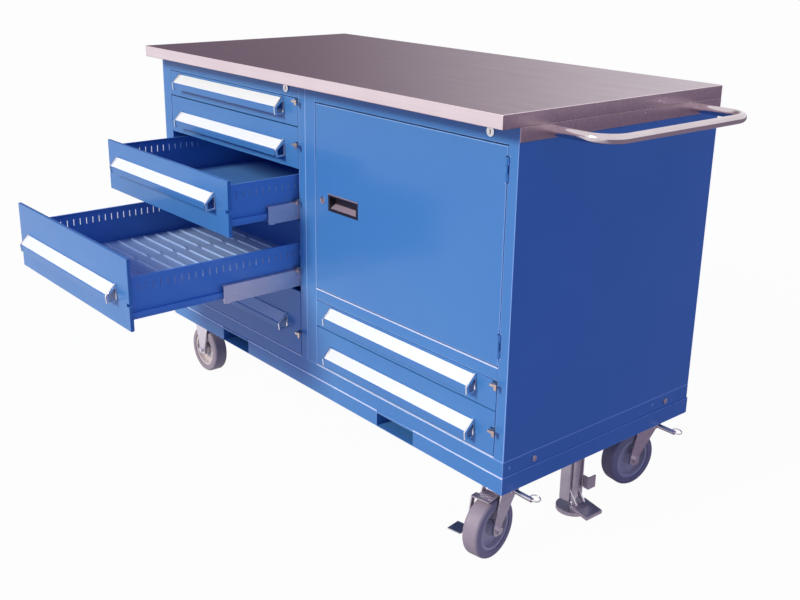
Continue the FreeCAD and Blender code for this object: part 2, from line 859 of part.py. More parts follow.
def fixed_rails(drawer):
    """The channels on the housing walls and the bracket with the pin of the latch."""
    name = f"{drawer.name}_rail"
    (x0, _), _ = carriage_limits(drawer)
    edge = drawer.x1
    wall = edge + S.post_right - S.sheet
    t = S.channel_t
    y = (S.channel_y, S.channel_y + S.channel_len)
    low = drawer.z + S.carriage_z - S.channel_gap - t
    high = drawer.z + S.carriage_z + S.carriage_h + S.channel_gap + t
    far = (y[1] - S.bracket_l, y[1])
    near = (y[0], y[0] + S.bracket_l)
    web = block(f"{name}_web", (edge, edge + t), y, (low, high))
    top = block(f"{name}_top", (x0, edge), y, (high - t, high))
    foot = block(f"{name}_foot", (x0, edge), y, (low, low + t))
    right = [
        web, top, foot,
        block(f"{name}_rear_tie", (edge + t, wall), far, (low, high)),
        block(f"{name}_front_tie", (edge + t, wall), near, (low, high)),
    ]
    left_wall = drawer.x0 - S.post_left + S.sheet
    left_edge = drawer.x0
    left = [mirrored(f"{piece.Name}_left", piece, drawer.middle) for piece in (web, top, foot)]
    left += [
        block(f"{name}_left_rear_tie", (left_wall, left_edge - t), far, (low, high)),
        block(f"{name}_left_front_tie", (left_wall, left_edge - t), near, (low, high)),
    ]
    pin_z = drawer.z + S.latch_z
    shelf_low = pin_z - S.sheet - S.run_gap
    shelf = block(f"{name}_latch_shelf", (edge + t * 2, wall),
                  (S.latch_pivot_y - S.latch_arm / 2, S.channel_y),
                  (shelf_low, pin_z - S.run_gap))
    pin = rod(f"{name}_latch_pin", "z", S.latch_pin_r, S.latch_h + S.run_gap,
              edge + S.latch_pivot_in, S.latch_pivot_y, pin_z - S.run_gap)
    return right + left + [shelf, pin]


def latch(drawer):
    """Thumb lever on the cabinet, reaching out through the notch of the drawer front."""
    name = drawer.name.replace("drawer", "latch")
    x = drawer.x1 - S.reveal
    z = drawer.z + S.latch_z
    half = S.latch_arm / 2
    inside = S.latch_pivot_in + S.reveal
    lever = prism(f"{name}_lever", "XY_Plane", [
        (-S.latch_w, -S.latch_out),
        (0, -S.latch_out + S.latch_w / 2),
        (0, S.latch_pivot_y - half),
        (inside + half, S.latch_pivot_y - half),
        (inside + half, S.latch_pivot_y + half),
        (-S.latch_w, S.latch_pivot_y + half),
    ], S.latch_h, x, 0, z)
    bore = rod(f"{name}_bore", "z", S.latch_pin_r + S.pin_fit, S.latch_h * 3,
               x + inside, S.latch_pivot_y, z - S.latch_h)
    node(name, [cut(name, lever, bore)])


def groove_trays(drawer):
    """Three ribbed insert plates side by side on the floor of a drawer."""
    inner = S.open_w - (S.tray_gap + S.tray_t + S.groove_clear) * 2
    width = (inner - S.groove_clear * (S.groove_count - 1)) / S.groove_count
    depth = S.tray_d - S.tray_t - S.groove_clear * 2
    level = drawer.z + S.tray_rise + S.tray_t + S.groove_t
    left = drawer.x0 + S.tray_gap + S.tray_t + S.groove_clear
    count = whole((depth - S.groove_pitch) / S.groove_pitch) + 1
    plates = []
    for column in range(int(S.groove_count.number)):
        name = f"groove_tray_{column + 1}"
        body = prism(name, "XY_Plane", [
            (0, 0), (width, 0), (width, depth), (0, depth),
        ], S.groove_t, left + (width + S.groove_clear) * column, S.front_t + S.groove_clear,
            level, reverse=True)
        margin, end, r = S.groove_margin, S.groove_end, S.groove_r
        middle = S.groove_pitch / 2
        sketch = outline(body, "XY_Plane", f"{name}_rib", [
            (margin, middle),
            (width - margin, middle),
            (width - margin - end / 4, middle + r / 2),
            (width - margin - end, middle + r),
            (margin + end, middle + r),
            (margin + end / 4, middle + r / 2),
        ])
        rib = body.newObject("PartDesign::Revolution", f"{name}_rib_turn")
        rib.Profile = sketch
        rib.ReferenceAxis = (sketch, ["Edge1"])
        rib.Angle = 180
        row_along_y(body, rib, S.groove_pitch, count)
        plates.append(body)
    node("groove_trays", plates, y=-drawer.pulled)


def worktop():
    """Stainless wrap round a board core, and the skirt that hangs at its right end."""
    x = (-CAB_W - S.top_side, CAB_W + S.top_side)
    y = (-S.top_front, S.cab_d + S.top_back)
    t = S.top_skin
    core_x, core_y = (x[0] + t, x[1] - t), (y[0] + t, y[1] - t)
    wrap = block("worktop_sheet", x, y, (CAB_TOP, TOP_Z))
    room = block("worktop_room", core_x, core_y, (CAB_TOP - t, TOP_Z - t))
    node("worktop", [cut("worktop_wrap", wrap, room)])
    node("worktop_core", [block("worktop_board", core_x, core_y, (CAB_TOP, TOP_Z - t))])
    node("end_skirt", [
        block("skirt_plate", (CAB_W, CAB_W + S.top_side), (0, y[1]),
              (CAB_TOP - S.skirt_drop, CAB_TOP)),
    ])


def tube_path():
    """Centre line of the push handle: straight out from the skirt, along, and back to it."""
    level = (CAB_TOP - S.tube_z).number
    face = (CAB_W + S.top_side).number
    out = face + S.tube_out.number
    near, far = S.tube_near.number, (S.cab_d - S.tube_rear).number
    bend = S.tube_bend.number
    short = bend * (1 - math.sqrt(0.5))
    points = [FreeCAD.Vector(x, y, level) for x, y in (
        (face, near),
        (out - bend, near), (out - short, near + short), (out, near + bend),
        (out, far - bend), (out - short, far - short), (out - bend, far),
        (face, far),
    )]
    edges = [
        Part.LineSegment(points[0], points[1]),
        Part.Arc(points[1], points[2], points[3]),
        Part.LineSegment(points[3], points[4]),
        Part.Arc(points[4], points[5], points[6]),
        Part.LineSegment(points[6], points[7]),
    ]
    return Part.Wire([edge.toShape() for edge in edges])


def swept(name, path, radius):
    """A round section carried along the path."""
    start = path.Shape.Vertexes[0].Point
    ring = doc.addObject("Part::Circle", f"{name}_section")
    ring.Placement = FreeCAD.Placement(start, TURNS["x"])
    bind(ring, "Radius", radius)
    sweep = doc.addObject("Part::Sweep", name)
    sweep.Sections = [ring]
    sweep.Spine = (path, [f"Edge{n + 1}" for n in range(len(path.Shape.Edges))])
    sweep.Solid = True
    return sweep


def push_handle():
    """Bent steel tube whose square ends are welded to the face of the skirt."""
    path = doc.addObject("Part::Feature", "push_handle_path")
    path.Shape = tube_path()
    outer = swept("push_handle_outer", path, S.tube_r)
    inner = swept("push_handle_inner", path, S.tube_r - S.tube_wall)
    node("push_handle", [cut("push_handle_tube", outer, inner)])


def fork_limits():
    """Low and high x of the two fork slots."""
    far = S.fork_in + S.fork_w
    return ((-far, -S.fork_in), (S.fork_in, far))


def base_frame():
    """Bands of plate round the base, the low one proud, the deck on top and the flanges that hold the casters."""
    t = S.band_t
    left_slot, right_slot = fork_limits()
    low_z, high_z = (BASE_Z, BAND_Z), (BAND_Z, CAB_Z)
    proud = S.band_proud
    wide = CAB_W + proud
    stretches = ((-wide, left_slot[0]), (left_slot[1], right_slot[0]), (right_slot[1], wide))
    pieces = []
    for end, y in (("front", (-proud, t)), ("rear", (S.cab_d - t, S.cab_d + proud))):
        for number, x in enumerate(stretches, start=1):
            pieces.append(block(f"low_band_{end}_{number}", x, y, low_z))
        for number, x in enumerate(fork_limits(), start=1):
            pieces.append(block(f"slot_bridge_{end}_{number}", x, y,
                                (BASE_Z + S.fork_h, BAND_Z)))
    for end, y in (("front", (0, t)), ("rear", (S.cab_d - t, S.cab_d))):
        pieces.append(block(f"high_band_{end}", (-CAB_W, CAB_W), y, high_z))
    for side, x in (("left", (-wide, t - CAB_W)), ("right", (CAB_W - t, wide))):
        pieces.append(block(f"low_band_{side}", x, (t, S.cab_d - t), low_z))
    for side, x in (("left", (-CAB_W, t - CAB_W)), ("right", (CAB_W - t, CAB_W))):
        pieces.append(block(f"high_band_{side}", x, (t, S.cab_d - t), high_z))
    pieces.append(block("base_deck", (t - CAB_W, CAB_W - t), (t, S.cab_d - t),
                        (CAB_Z - S.deck_t, CAB_Z)))
    for side, x in (("left", (t - CAB_W, S.flange_w - CAB_W)),
                    ("right", (CAB_W - S.flange_w, CAB_W - t))):
        pieces.append(block(f"base_flange_{side}", x, (t, S.cab_d - t),
                            (BASE_Z, BASE_Z + S.deck_t)))
    node("base_frame", pieces)


def fork_channels():
    """Two tunnels through the base for a lift truck, whose floors reach the faces of the base."""
    pieces = []
    y = (S.band_t, S.cab_d - S.band_t)
    wall = S.fork_wall
    top = BASE_Z + S.fork_h
    whole_y = (-S.band_proud, S.cab_d + S.band_proud)
    for number, (low, high) in enumerate(fork_limits(), start=1):
        pieces += [
            block(f"fork_wall_near_{number}", (low - wall, low), y, (BASE_Z, top + wall)),
            block(f"fork_wall_far_{number}", (high, high + wall), y, (BASE_Z, top + wall)),
            block(f"fork_roof_{number}", (low, high), y, (top, top + wall)),
            block(f"fork_floor_{number}", (low, high), whole_y, (BASE_Z, BASE_Z + wall)),
        ]
    node("fork_channels", pieces)


# Casters: the right pair swivels, the left pair is fixed and rolls along the cabinet
PLATE_X = CAB_W - S.plate_in
PLATE_Y = {"front": S.plate_front, "rear": S.cab_d - S.plate_front}
CROWN_TOP = BASE_Z - S.plate_t - S.race_h - S.race_gap
CROWN_LOW = CROWN_TOP - S.crown_h


def caster_plates():
    """Top plates with their bearing races, and the brackets of the two swivel locks."""
    pieces = []
    plate_z = (BASE_Z - S.plate_t, BASE_Z)
    for side, x in (("left", -PLATE_X), ("right", PLATE_X)):
        for end, y in PLATE_Y.items():
            name = f"caster_{end}_{side}"
            pieces.append(block(f"{name}_plate", (x - S.plate_w / 2, x + S.plate_w / 2),
                                (y - S.plate_d / 2, y + S.plate_d / 2), plate_z))
            pieces.append(rod(f"{name}_race", "z", S.race_r, S.race_h, x, y,
                              BASE_Z - S.plate_t - S.race_h))
    for end in PLATE_Y:
        x, y, z = plunger_place(end)
        bracket = block(f"{end}_plunger_bracket", (x - S.plate_t, x),
                        (y - S.plunger_r * 2, y + S.plunger_r * 2),
                        (z - S.plunger_r, BASE_Z - S.plate_t))
        bore = rod(f"{end}_plunger_bracket_bore", "x", S.plunger_pin_r + S.pin_fit,
                   S.plate_t * 3, x - S.plate_t * 2, y, z)
        pieces.append(cut(f"{end}_plunger_seat", bracket, bore))
    node("caster_plates", pieces)


def fork(name, trail):
    """Crown, two legs, axle and nuts of one caster, round its own swivel line."""
    inner = S.wheel_w / 2 + S.leg_gap
    outer = inner + S.leg_t
    half, eye, z = S.crown_d / 2, S.leg_eye, S.wheel_r
    corners = [
        (half, CROWN_LOW),
        (-half, CROWN_LOW),
        (-trail - eye, z + eye / 2),
        (-trail - eye, z - eye / 2),
        (-trail - eye / 2, z - eye),
        (eye / 2 - trail, z - eye),
        (eye - trail, z - eye / 2),
        (eye - trail, z + eye / 2),
    ]
    pieces = [
        block(f"{name}_crown", (-S.crown_w / 2, S.crown_w / 2), (-half, half),
              (CROWN_LOW, CROWN_TOP)),
        prism(f"{name}_leg_near", "YZ_Plane", corners, S.leg_t, inner),
        prism(f"{name}_leg_far", "YZ_Plane", corners, S.leg_t, -outer),
        rod(f"{name}_axle", "x", S.axle_r, outer * 2, -outer, -trail, z),
        hexagon(f"{name}_nut_near", "x", S.nut_r, S.nut_h, outer, -trail, z),
        hexagon(f"{name}_nut_far", "x", S.nut_r, S.nut_h, -outer - S.nut_h, -trail, z),
    ]
    for leg in ("near", "far"):
        start = inner if leg == "near" else -outer
        hole = rod(f"{name}_hole_{leg}", "x", S.axle_r, S.leg_t, start, -trail, z)
        index = 1 if leg == "near" else 2
        pieces[index] = cut(f"{name}_leg_{leg}_drilled", pieces[index], hole)
    return pieces


def wheel_pieces(name, trail):
    """Tread and hub of one wheel, at its place under the swivel line."""
    half, rim = S.wheel_w / 2, S.wheel_w / 2 - S.rim_in
    web = S.web_t / 2
    bore = S.axle_r + S.pin_fit
    tread = turned(f"{name}_tread", [
        (-half, S.tread_r), (half, S.tread_r), (half, S.wheel_r), (-half, S.wheel_r),
    ], 0, -trail, S.wheel_r)
    doc.recompute()
    blank = tread.Tip
    rims = [
        f"Edge{number}" for number, edge in enumerate(blank.Shape.Edges, start=1)
        if isinstance(edge.Curve, Part.Circle)
        and abs(edge.Curve.Radius - S.wheel_r.number) < 1e-6
    ]
    shoulder = tread.newObject("PartDesign::Fillet", f"{name}_shoulder")
    shoulder.Base = (blank, rims)
    bind(shoulder, "Radius", S.shoulder_r)
    tread.Tip = shoulder
    hub = turned(f"{name}_hub", [
        (-half, bore), (half, bore), (half, S.boss_r), (web, S.boss_r),
        (web, S.rim_r), (rim, S.rim_r), (rim, S.tread_r), (-rim, S.tread_r),
        (-rim, S.rim_r), (-web, S.rim_r), (-web, S.boss_r), (-half, S.boss_r),
    ], 0, -trail, S.wheel_r)
    return [tread, hub]


def casters():
    quarter = Term(90, "90")
    rigid = []
    for end, y in PLATE_Y.items():
        name = f"{end}_right"
        yaw = S.yaw_front if end == "front" else S.yaw_rear
        node(f"{end}_swivel_fork", fork(f"{end}_fork", S.trail), PLATE_X, y, 0, yaw)
        node(f"{name}_wheel", wheel_pieces(f"{name}_wheel", S.trail), PLATE_X, y, 0, yaw)
        straight = Term(0.0, "0")
        node(f"{end}_left_wheel", wheel_pieces(f"{end}_left_wheel", straight), -PLATE_X, y, 0,
             quarter)
        pair = doc.addObject("Part::Compound", f"{end}_rigid_fork")
        pair.Links = fork(f"{end}_rigid", straight)
        pair.Placement.Rotation = FreeCAD.Rotation(FreeCAD.Vector(0, 0, 1), 90)
        move_to(pair, -PLATE_X, y, 0)
        spacer = rod(f"{end}_rigid_spacer", "z", S.race_r, S.race_gap, -PLATE_X, y, CROWN_TOP)
        rigid += [pair, spacer]
    node("rigid_forks", rigid)


def wheel_brake():
    """Brake plate over the front right wheel, with an arm beside the fork and a foot pedal."""
    low = S.wheel_r * 2 + S.brake_gap
    t = S.brake_t
    top = low + t
    half = S.brake_w / 2
    side = -S.wheel_w / 2 - S.leg_gap - S.leg_t
    back, front = -S.brake_pivot, -S.brake_pivot - S.brake_top
    tab = front + S.brake_tab
    plate = prism("brake_plate", "XY_Plane", [
        (-half, back), (-half, tab), (side, tab), (side, front), (half, front), (half, back),
    ], t, 0, 0, low)
    foot_z = S.brake_foot_z
    foot_front = front - S.brake_lean
    arm = prism("brake_arm_plate", "YZ_Plane", [
        (front + S.brake_arm, top),
        (front, top),
        (foot_front, foot_z),
        (foot_front + S.brake_arm, foot_z),
    ], t, side)
    pedal_y = foot_front + S.brake_arm
    pedal = block("brake_pedal", (side + t - S.brake_foot_w, side + t),
                  (pedal_y - S.brake_foot_d, pedal_y), (foot_z, foot_z + t))
    pin = rod("brake_pin", "x", S.brake_pin_r, S.wheel_w + S.leg_gap * 2 - S.run_gap * 2,
              S.run_gap - S.wheel_w / 2 - S.leg_gap, back, low + S.brake_pin_r)
    node("wheel_brake", [fuse("brake_whole", plate, arm, pedal, pin)], PLATE_X,
         PLATE_Y["front"], 0, S.yaw_front)


def plunger_place(end):
    """Root of a swivel lock: just outside its caster plate."""
    middle = PLATE_Y[end]
    return PLATE_X + S.plate_w / 2 + S.plate_t, middle - S.plunger_y, BASE_Z - S.plunger_z


def swivel_locks():
    """Sprung plungers with pull rings that hold the right casters straight."""
    for end in PLATE_Y:
        x, y, z = plunger_place(end)
        name = f"{end}_swivel_lock"
        sleeve = rod(f"{name}_sleeve", "x", S.plunger_r, S.plunger_len, x + S.run_gap, y, z)
        pin = rod(f"{name}_pin", "x", S.plunger_pin_r, S.plunger_pin, x - S.plunger_pin, y, z)
        stem = rod(f"{name}_stem", "x", S.plunger_pin_r, S.run_gap, x, y, z)
        ring = doc.addObject("Part::Torus", f"{name}_ring")
        tilt = FreeCAD.Rotation(FreeCAD.Vector(0, 1, 0), S.ring_tilt.number)
        ring.Placement.Rotation = tilt
        bind(ring, "Radius1", S.ring_r)
        bind(ring, "Radius2", S.ring_t)
        move_to(ring, x + S.plunger_len, y + S.ring_r, z)
        node(name, [fuse(f"{name}_whole", sleeve, pin, stem, ring)])


def floor_lock():
    """Foot-operated jack between the right casters, with its tube, foot and two pedals."""
    x, y = CAB_W - S.lock_in_x, S.lock_mid_y
    plate_low = BASE_Z - S.lock_plate_t
    half = S.lock_plate / 2
    bore = S.lock_tube_r - S.lock_tube_wall
    tube = rod("lock_tube", "z", S.lock_tube_r, plate_low - S.lock_tube_end, x, y,
               S.lock_tube_end)
    tube_bore = rod("lock_tube_bore", "z", bore, BASE_Z, x, y, 0)
    gap, t = S.lock_cheek_gap, S.lock_cheek_d
    cheek_y = S.lock_tube_r + gap
    near, far = (y - cheek_y - t, y - cheek_y), (y + cheek_y, y + cheek_y + t)
    cheek_z = (S.lock_cheek_end, plate_low)
    pin_r, free = S.lock_pin_r, S.run_gap
    pedal_x = x - S.pedal_back
    release_x = x + S.release_in
    node("floor_lock_frame", [
        block("lock_plate", (x - half, x + half), (y - half, y + half), (plate_low, BASE_Z)),
        cut("lock_tube_hollow", tube, tube_bore),
        block("lock_cheek_near", (x - S.lock_cheek_back, x + S.lock_cheek_near), near, cheek_z),
        block("lock_cheek_far", (x - S.lock_cheek_back, x + S.lock_cheek_far), far, cheek_z),
        rod("pedal_pin_near", "y", pin_r, gap - free, pedal_x, near[1], S.pedal_pivot_z),
        rod("pedal_pin_far", "y", pin_r, gap - free, pedal_x, far[0] - gap + free,
            S.pedal_pivot_z),
        rod("release_pin", "y", pin_r, S.release_gap + S.release_t * 2, release_x, far[1],
            S.release_z),
    ])
    stem = rod("lock_stem", "z", bore - S.lock_rod_gap, S.lock_tube_end * 2 - S.lock_pad_h,
               x, y, S.lock_pad_h)
    foot = rod("lock_pad", "z", S.lock_pad_r, S.lock_pad_h, x, y, 0)
    node("floor_lock_foot", [stem, foot])
    reach, drop, fall = S.pedal_reach, -S.pedal_drop, S.pedal_fall
    far_x = reach + S.pedal_len
    thick, lip = S.pedal_t, S.pedal_lip
    low = y - S.pedal_w / 2
    frame = (pedal_x, S.pedal_pivot_z)

    def slab(name, corners, width, start):
        return prism(name, "XZ_Plane", corners, width, frame[0], start, frame[1], reverse=True)

    tread = slab("pedal_tread", [
        (reach, drop),
        (far_x, drop - fall),
        (far_x, drop - fall - lip),
        (far_x - thick, drop - fall - lip),
        (far_x - thick, drop - fall - thick),
        (reach, drop - thick),
    ], S.pedal_w, low)
    flange = [
        (reach, drop - thick / 2),
        (far_x - thick / 2, drop - fall - thick / 2),
        (far_x - thick / 2, drop - fall - lip),
        (reach, drop - lip),
    ]
    arm = S.pedal_arm / 2
    arm_gap = free * 3
    arm_w = gap - arm_gap * 2
    arms = []
    for side, start in (("near", near[1] + arm_gap), ("far", far[0] - gap + arm_gap)):
        plate = slab(f"pedal_arm_{side}", [
            (-arm, arm),
            (-arm, -arm),
            (reach, drop - thick / 2),
            (reach + arm * 3, drop - fall),
            (arm, arm),
        ], arm_w, start)
        hole = rod(f"pedal_bore_{side}", "y", pin_r + S.pin_fit, arm_w * 3, pedal_x,
                   start - arm_w, S.pedal_pivot_z)
        arms.append(cut(f"pedal_arm_{side}_drilled", plate, hole))
    node("floor_lock_pedal", [fuse(
        "pedal_whole", tread, slab("pedal_flange_near", flange, thick, low),
        slab("pedal_flange_far", flange, thick, low + S.pedal_w - thick), *arms)])
    low, t = far[1] + S.release_gap, S.release_t
    rise, drop, long = S.release_rise, -S.release_drop, S.release_len
    lever = prism("release_arm", "XZ_Plane", [
        (-rise, rise), (-rise, drop / 2), (rise, drop), (long, drop), (long, rise),
    ], t, release_x, low, S.release_z, reverse=True)
    hole = rod("release_bore", "y", pin_r + S.pin_fit, t * 3, release_x, low - t, S.release_z)
    paddle = block("release_paddle", (release_x + long - t, release_x + long),
                   (low, low + S.release_w), (S.release_z + drop, S.release_z + rise))
    node("floor_lock_release", [fuse("release_whole", cut("release_drilled", lever, hole),
                                     paddle)])


def bolts():
    """Hexagon bolt heads on the sides of the base and round each caster plate."""
    pieces = []
    face = CAB_W
    level = BAND_Z + S.band_high / 2
    for number, y in enumerate((S.bolt_in, S.cab_d - S.bolt_in), start=1):
        pieces.append(hexagon(f"base_bolt_right_{number}", "x", S.bolt_r, S.bolt_head, face, y,
                              level))
        pieces.append(hexagon(f"base_bolt_left_{number}", "x", S.bolt_r, S.bolt_head,
                              -face - S.bolt_head, y, level))
    reach_x = S.plate_w / 2 - S.caster_bolt_in
    reach_y = S.plate_d / 2 - S.caster_bolt_in
    low = BASE_Z - S.plate_t - S.bolt_head
    for side, x in (("left", -PLATE_X), ("right", PLATE_X)):
        for end, y in PLATE_Y.items():
            for corner, (i, j) in enumerate(((-1, -1), (1, -1), (1, 1), (-1, 1)), start=1):
                pieces.append(hexagon(f"caster_bolt_{end}_{side}_{corner}", "z",
                                      S.caster_bolt_r, S.bolt_head, x + reach_x * i,
                                      y + reach_y * j, low))
    node("bolts", pieces)


housing("left")
housing("right")
base_frame()
fork_channels()
worktop()
push_handle()
rails = []
for each in DRAWERS:
    tray(each)
    handle(each)
    carriage(each)
    latch(each)
    rails += fixed_rails(each)
node("drawer_rails", rails)
groove_trays(DRAWERS[1])
door_hinges()
door()
key_lock("left")
key_lock("right")
caster_plates()
casters()
wheel_brake()
swivel_locks()
floor_lock()
bolts()
doc.recompute()

for thing in doc.Objects:
    if "Invalid" in thing.State or "Error" in thing.State:
        raise RuntimeError(f"{thing.Name} failed: {thing.State}")
for part in NODES:
    if part.Shape.isNull() or not part.Shape.isValid() or not part.Shape.Solids:
        raise RuntimeError(f"{part.Label} has no valid shape")

os.makedirs("parts", exist_ok=True)
for part in NODES:
    part.Shape.exportStep(f"parts/{part.Label}.step")
print(len(NODES), "sub-parts,", sum(len(part.Shape.Solids) for part in NODES), "solids")
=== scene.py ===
# %% [markdown]
# A modular drawer cabinet on casters, dressed for a studio picture.
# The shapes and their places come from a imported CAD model, the frame. This lesson gives each
# part the edges, small fittings and finishes that make sheet steel, stainless steel, zinc
# plate and rubber look like themselves, and leaves every size as the CAD has it.

# %% Load the frame
import math

import bmesh
import bpy
from mathutils import Matrix, Vector


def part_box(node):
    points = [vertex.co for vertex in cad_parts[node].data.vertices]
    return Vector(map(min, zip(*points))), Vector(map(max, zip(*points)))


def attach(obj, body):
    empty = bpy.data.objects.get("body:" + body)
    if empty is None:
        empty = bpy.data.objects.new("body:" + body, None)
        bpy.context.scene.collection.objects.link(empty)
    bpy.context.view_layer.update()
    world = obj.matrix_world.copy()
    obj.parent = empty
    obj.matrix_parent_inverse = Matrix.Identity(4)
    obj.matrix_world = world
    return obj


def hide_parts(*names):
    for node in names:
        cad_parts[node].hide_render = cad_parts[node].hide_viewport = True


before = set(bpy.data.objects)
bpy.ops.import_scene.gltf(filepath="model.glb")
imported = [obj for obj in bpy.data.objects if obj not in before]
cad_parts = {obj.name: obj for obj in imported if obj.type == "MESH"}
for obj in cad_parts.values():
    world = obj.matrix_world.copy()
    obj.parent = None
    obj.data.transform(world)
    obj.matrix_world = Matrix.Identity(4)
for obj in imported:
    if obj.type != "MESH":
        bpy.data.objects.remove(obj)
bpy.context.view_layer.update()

# %% [markdown]
# The CAD was drawn from the seam between the two housings, the plane of their fronts and the
# floor, in millimetres. The frame counts in metres from the middle of the footprint. One
# helper turns the first into the second, so the lesson can speak in millimetres.

# %% Places in millimetres
DATUM_X = 75
DATUM_Y = 88
MM = 0.001


def place(x, y, z):
    """A point given in millimetres from the seam, the front plane and the floor."""
    return Vector((x - DATUM_X, y - DATUM_Y, z)) * MM


# %% [markdown]
# The camera stands in front of the right-hand corner, a little above the worktop. Its turn,
# height and lens were worked out from the corners of the cabinet in the picture, together with
# a roll of one degree. The optical axis passes a little above the middle of the image, which
# is what the small shift says.

# %% Camera
CAMERA_AT = place(2209.2, -1550.8, 1423.8)
AZIMUTH = math.radians(49.558)
ELEVATION = math.radians(18.046)
ROLL = math.radians(0.970)
LENS = 46.94
AXIS_ABOVE_MIDDLE = 30
IMAGE_WIDTH = 800
SENSOR_WIDTH = 36
FARTHEST = 100

back = Vector((math.sin(AZIMUTH) * math.cos(ELEVATION),
               -math.cos(AZIMUTH) * math.cos(ELEVATION),
               math.sin(ELEVATION)))
level = Vector((math.cos(AZIMUTH), math.sin(AZIMUTH), 0))
upward = back.cross(level)
right = level * math.cos(ROLL) + upward * math.sin(ROLL)
upward = upward * math.cos(ROLL) - level * math.sin(ROLL)
turn = Matrix((right, upward, back)).transposed().to_4x4()

lens = bpy.data.cameras.new("studio_camera")
lens.lens = LENS
lens.sensor_width = SENSOR_WIDTH
lens.shift_y = -AXIS_ABOVE_MIDDLE / IMAGE_WIDTH
lens.clip_end = FARTHEST
camera = bpy.data.objects.new("studio_camera", lens)
camera.matrix_world = Matrix.Translation(CAMERA_AT) @ turn
bpy.context.scene.collection.objects.link(camera)
bpy.context.scene.camera = camera
print("camera", [round(c, 3) for c in CAMERA_AT])

# %% [markdown]
# Colours are written as the hex codes that a paint program shows, which are sRGB. Shader
# sockets want linear light, so one function converts them. A second small function adds any
# node to any tree: settings go to the node's inputs or properties, links come from outputs.


# %% Colour and node helpers
def linear(code):
    """A hex colour such as '#4a84c8' as linear RGBA."""
    channels = [int(code[i:i + 2], 16) / 255 for i in (1, 3, 5)]
    bent = [c / 12.92 if c <= 0.04045 else ((c + 0.055) / 1.055) ** 2.4 for c in channels]
    return (*bent, 1)


def add(tree, kind, settings=None, links=None):
    """One node of a shader or geometry tree, with its settings and its links."""
    node = tree.nodes.new(kind)
    for name, value in (settings or {}).items():
        if isinstance(name, str) and hasattr(node, name) and name not in node.inputs:
            setattr(node, name, value)
        else:
            node.inputs[name].default_value = value
    for name, source in (links or {}).items():
        tree.links.new(source, node.inputs[name])
    return node


def new_finish(name):
    """An empty material and its tree."""
    material = bpy.data.materials.new(name)
    material.use_nodes = True
    material.node_tree.nodes.clear()
    return material, material.node_tree


# %% [markdown]
# The studio is a pale floor under soft light. The key light stands in front of the cabinet and
# above it, so that the fronts and their ledges are bright and the right side lies in shade, as
# the picture shows. It is a little warm, and the sky that fills the shade is blue. The backdrop
# and the floor are white for the eye. Mirroring metal sees them too, with a dusky wall at the
# far left, which darkens the left end of the worktop, and a dusky floor behind and to the right,
# which darkens the end of the worktop and the gloss of the side.

# %% Floor, sky and lamps
FLOOR_SIZE = 400
SKY_TINT = "#8ea2f3"
SKY_LIGHT = 0.70
DUSK = "#655462"
DUSKY_FLOOR = "#8d8092"
DUSKY_WALL_TOWARD = Vector((-0.97, 0.24, 0.0))
LIGHT_FLOOR_TOWARD = Vector((-0.71, -0.71, 0.0))
KEY_LIGHT = 2.9
KEY_TINT = (1.0, 0.97, 0.82)
KEY_SOFT = math.radians(16)
KEY_FROM = Vector((-0.14, -0.85, 0.51))
WHITE_TO_EYE = 0.97
FLOOR_FADE = (-0.9, 0.5)
WALL_FADE = (0.92, 0.70)
WHITE = (1, 1, 1, 1)
PAPER_PALE = "#bcc0cc"
PAPER_DEEP = "#b6bac6"


def any_of(tree, ray, shares):
    """The largest of the named ray flags, each times its share."""
    result = None
    for flag, share in shares.items():
        part = add(tree, "ShaderNodeMath", {"operation": "MULTIPLY", 1: share},
                   {0: ray.outputs[flag]}).outputs[0]
        result = part if result is None else add(
            tree, "ShaderNodeMath", {"operation": "MAXIMUM"}, {0: result, 1: part}).outputs[0]
    return result


def paper_floor():
    """White background paper: matt, very slightly uneven, lit white for the eye."""
    material, tree = new_finish("paper_floor")
    where = add(tree, "ShaderNodeTexCoord")
    cloudy = add(tree, "ShaderNodeTexNoise", {"Scale": 1.5, "Detail": 2},
                 {"Vector": where.outputs["Object"]})
    tint = add(tree, "ShaderNodeMix", {
        "data_type": "RGBA",
        6: linear(PAPER_PALE),
        7: linear(PAPER_DEEP),
    }, {0: cloudy.outputs["Fac"]})
    paper = add(tree, "ShaderNodeBsdfPrincipled", {
        "Roughness": 0.9, "Specular IOR Level": 0.2,
    }, {"Base Color": tint.outputs[2]})
    ray = add(tree, "ShaderNodeLightPath")
    forward = add(tree, "ShaderNodeVectorMath", {
        "operation": "DOT_PRODUCT", 1: LIGHT_FLOOR_TOWARD}, {0: where.outputs["Object"]})
    lit = add(tree, "ShaderNodeMapRange", {1: FLOOR_FADE[0], 2: FLOOR_FADE[1]},
              {0: forward.outputs["Value"]})
    mirrored = add(tree, "ShaderNodeMix", {"data_type": "RGBA", 6: linear(DUSKY_FLOOR),
                                           7: WHITE}, {0: lit.outputs[0]})
    seen = add(tree, "ShaderNodeMix", {"data_type": "RGBA", 6: WHITE},
               {0: ray.outputs["Is Glossy Ray"], 7: mirrored.outputs[2]})
    white = add(tree, "ShaderNodeEmission", {"Strength": 1.0}, {"Color": seen.outputs[2]})
    share = any_of(tree, ray, {"Is Camera Ray": WHITE_TO_EYE, "Is Glossy Ray": WHITE_TO_EYE,
                               "Is Transmission Ray": WHITE_TO_EYE})
    both = add(tree, "ShaderNodeMixShader", links={0: share, 1: paper.outputs[0],
                                                   2: white.outputs[0]})
    add(tree, "ShaderNodeOutputMaterial", links={"Surface": both.outputs[0]})
    return material


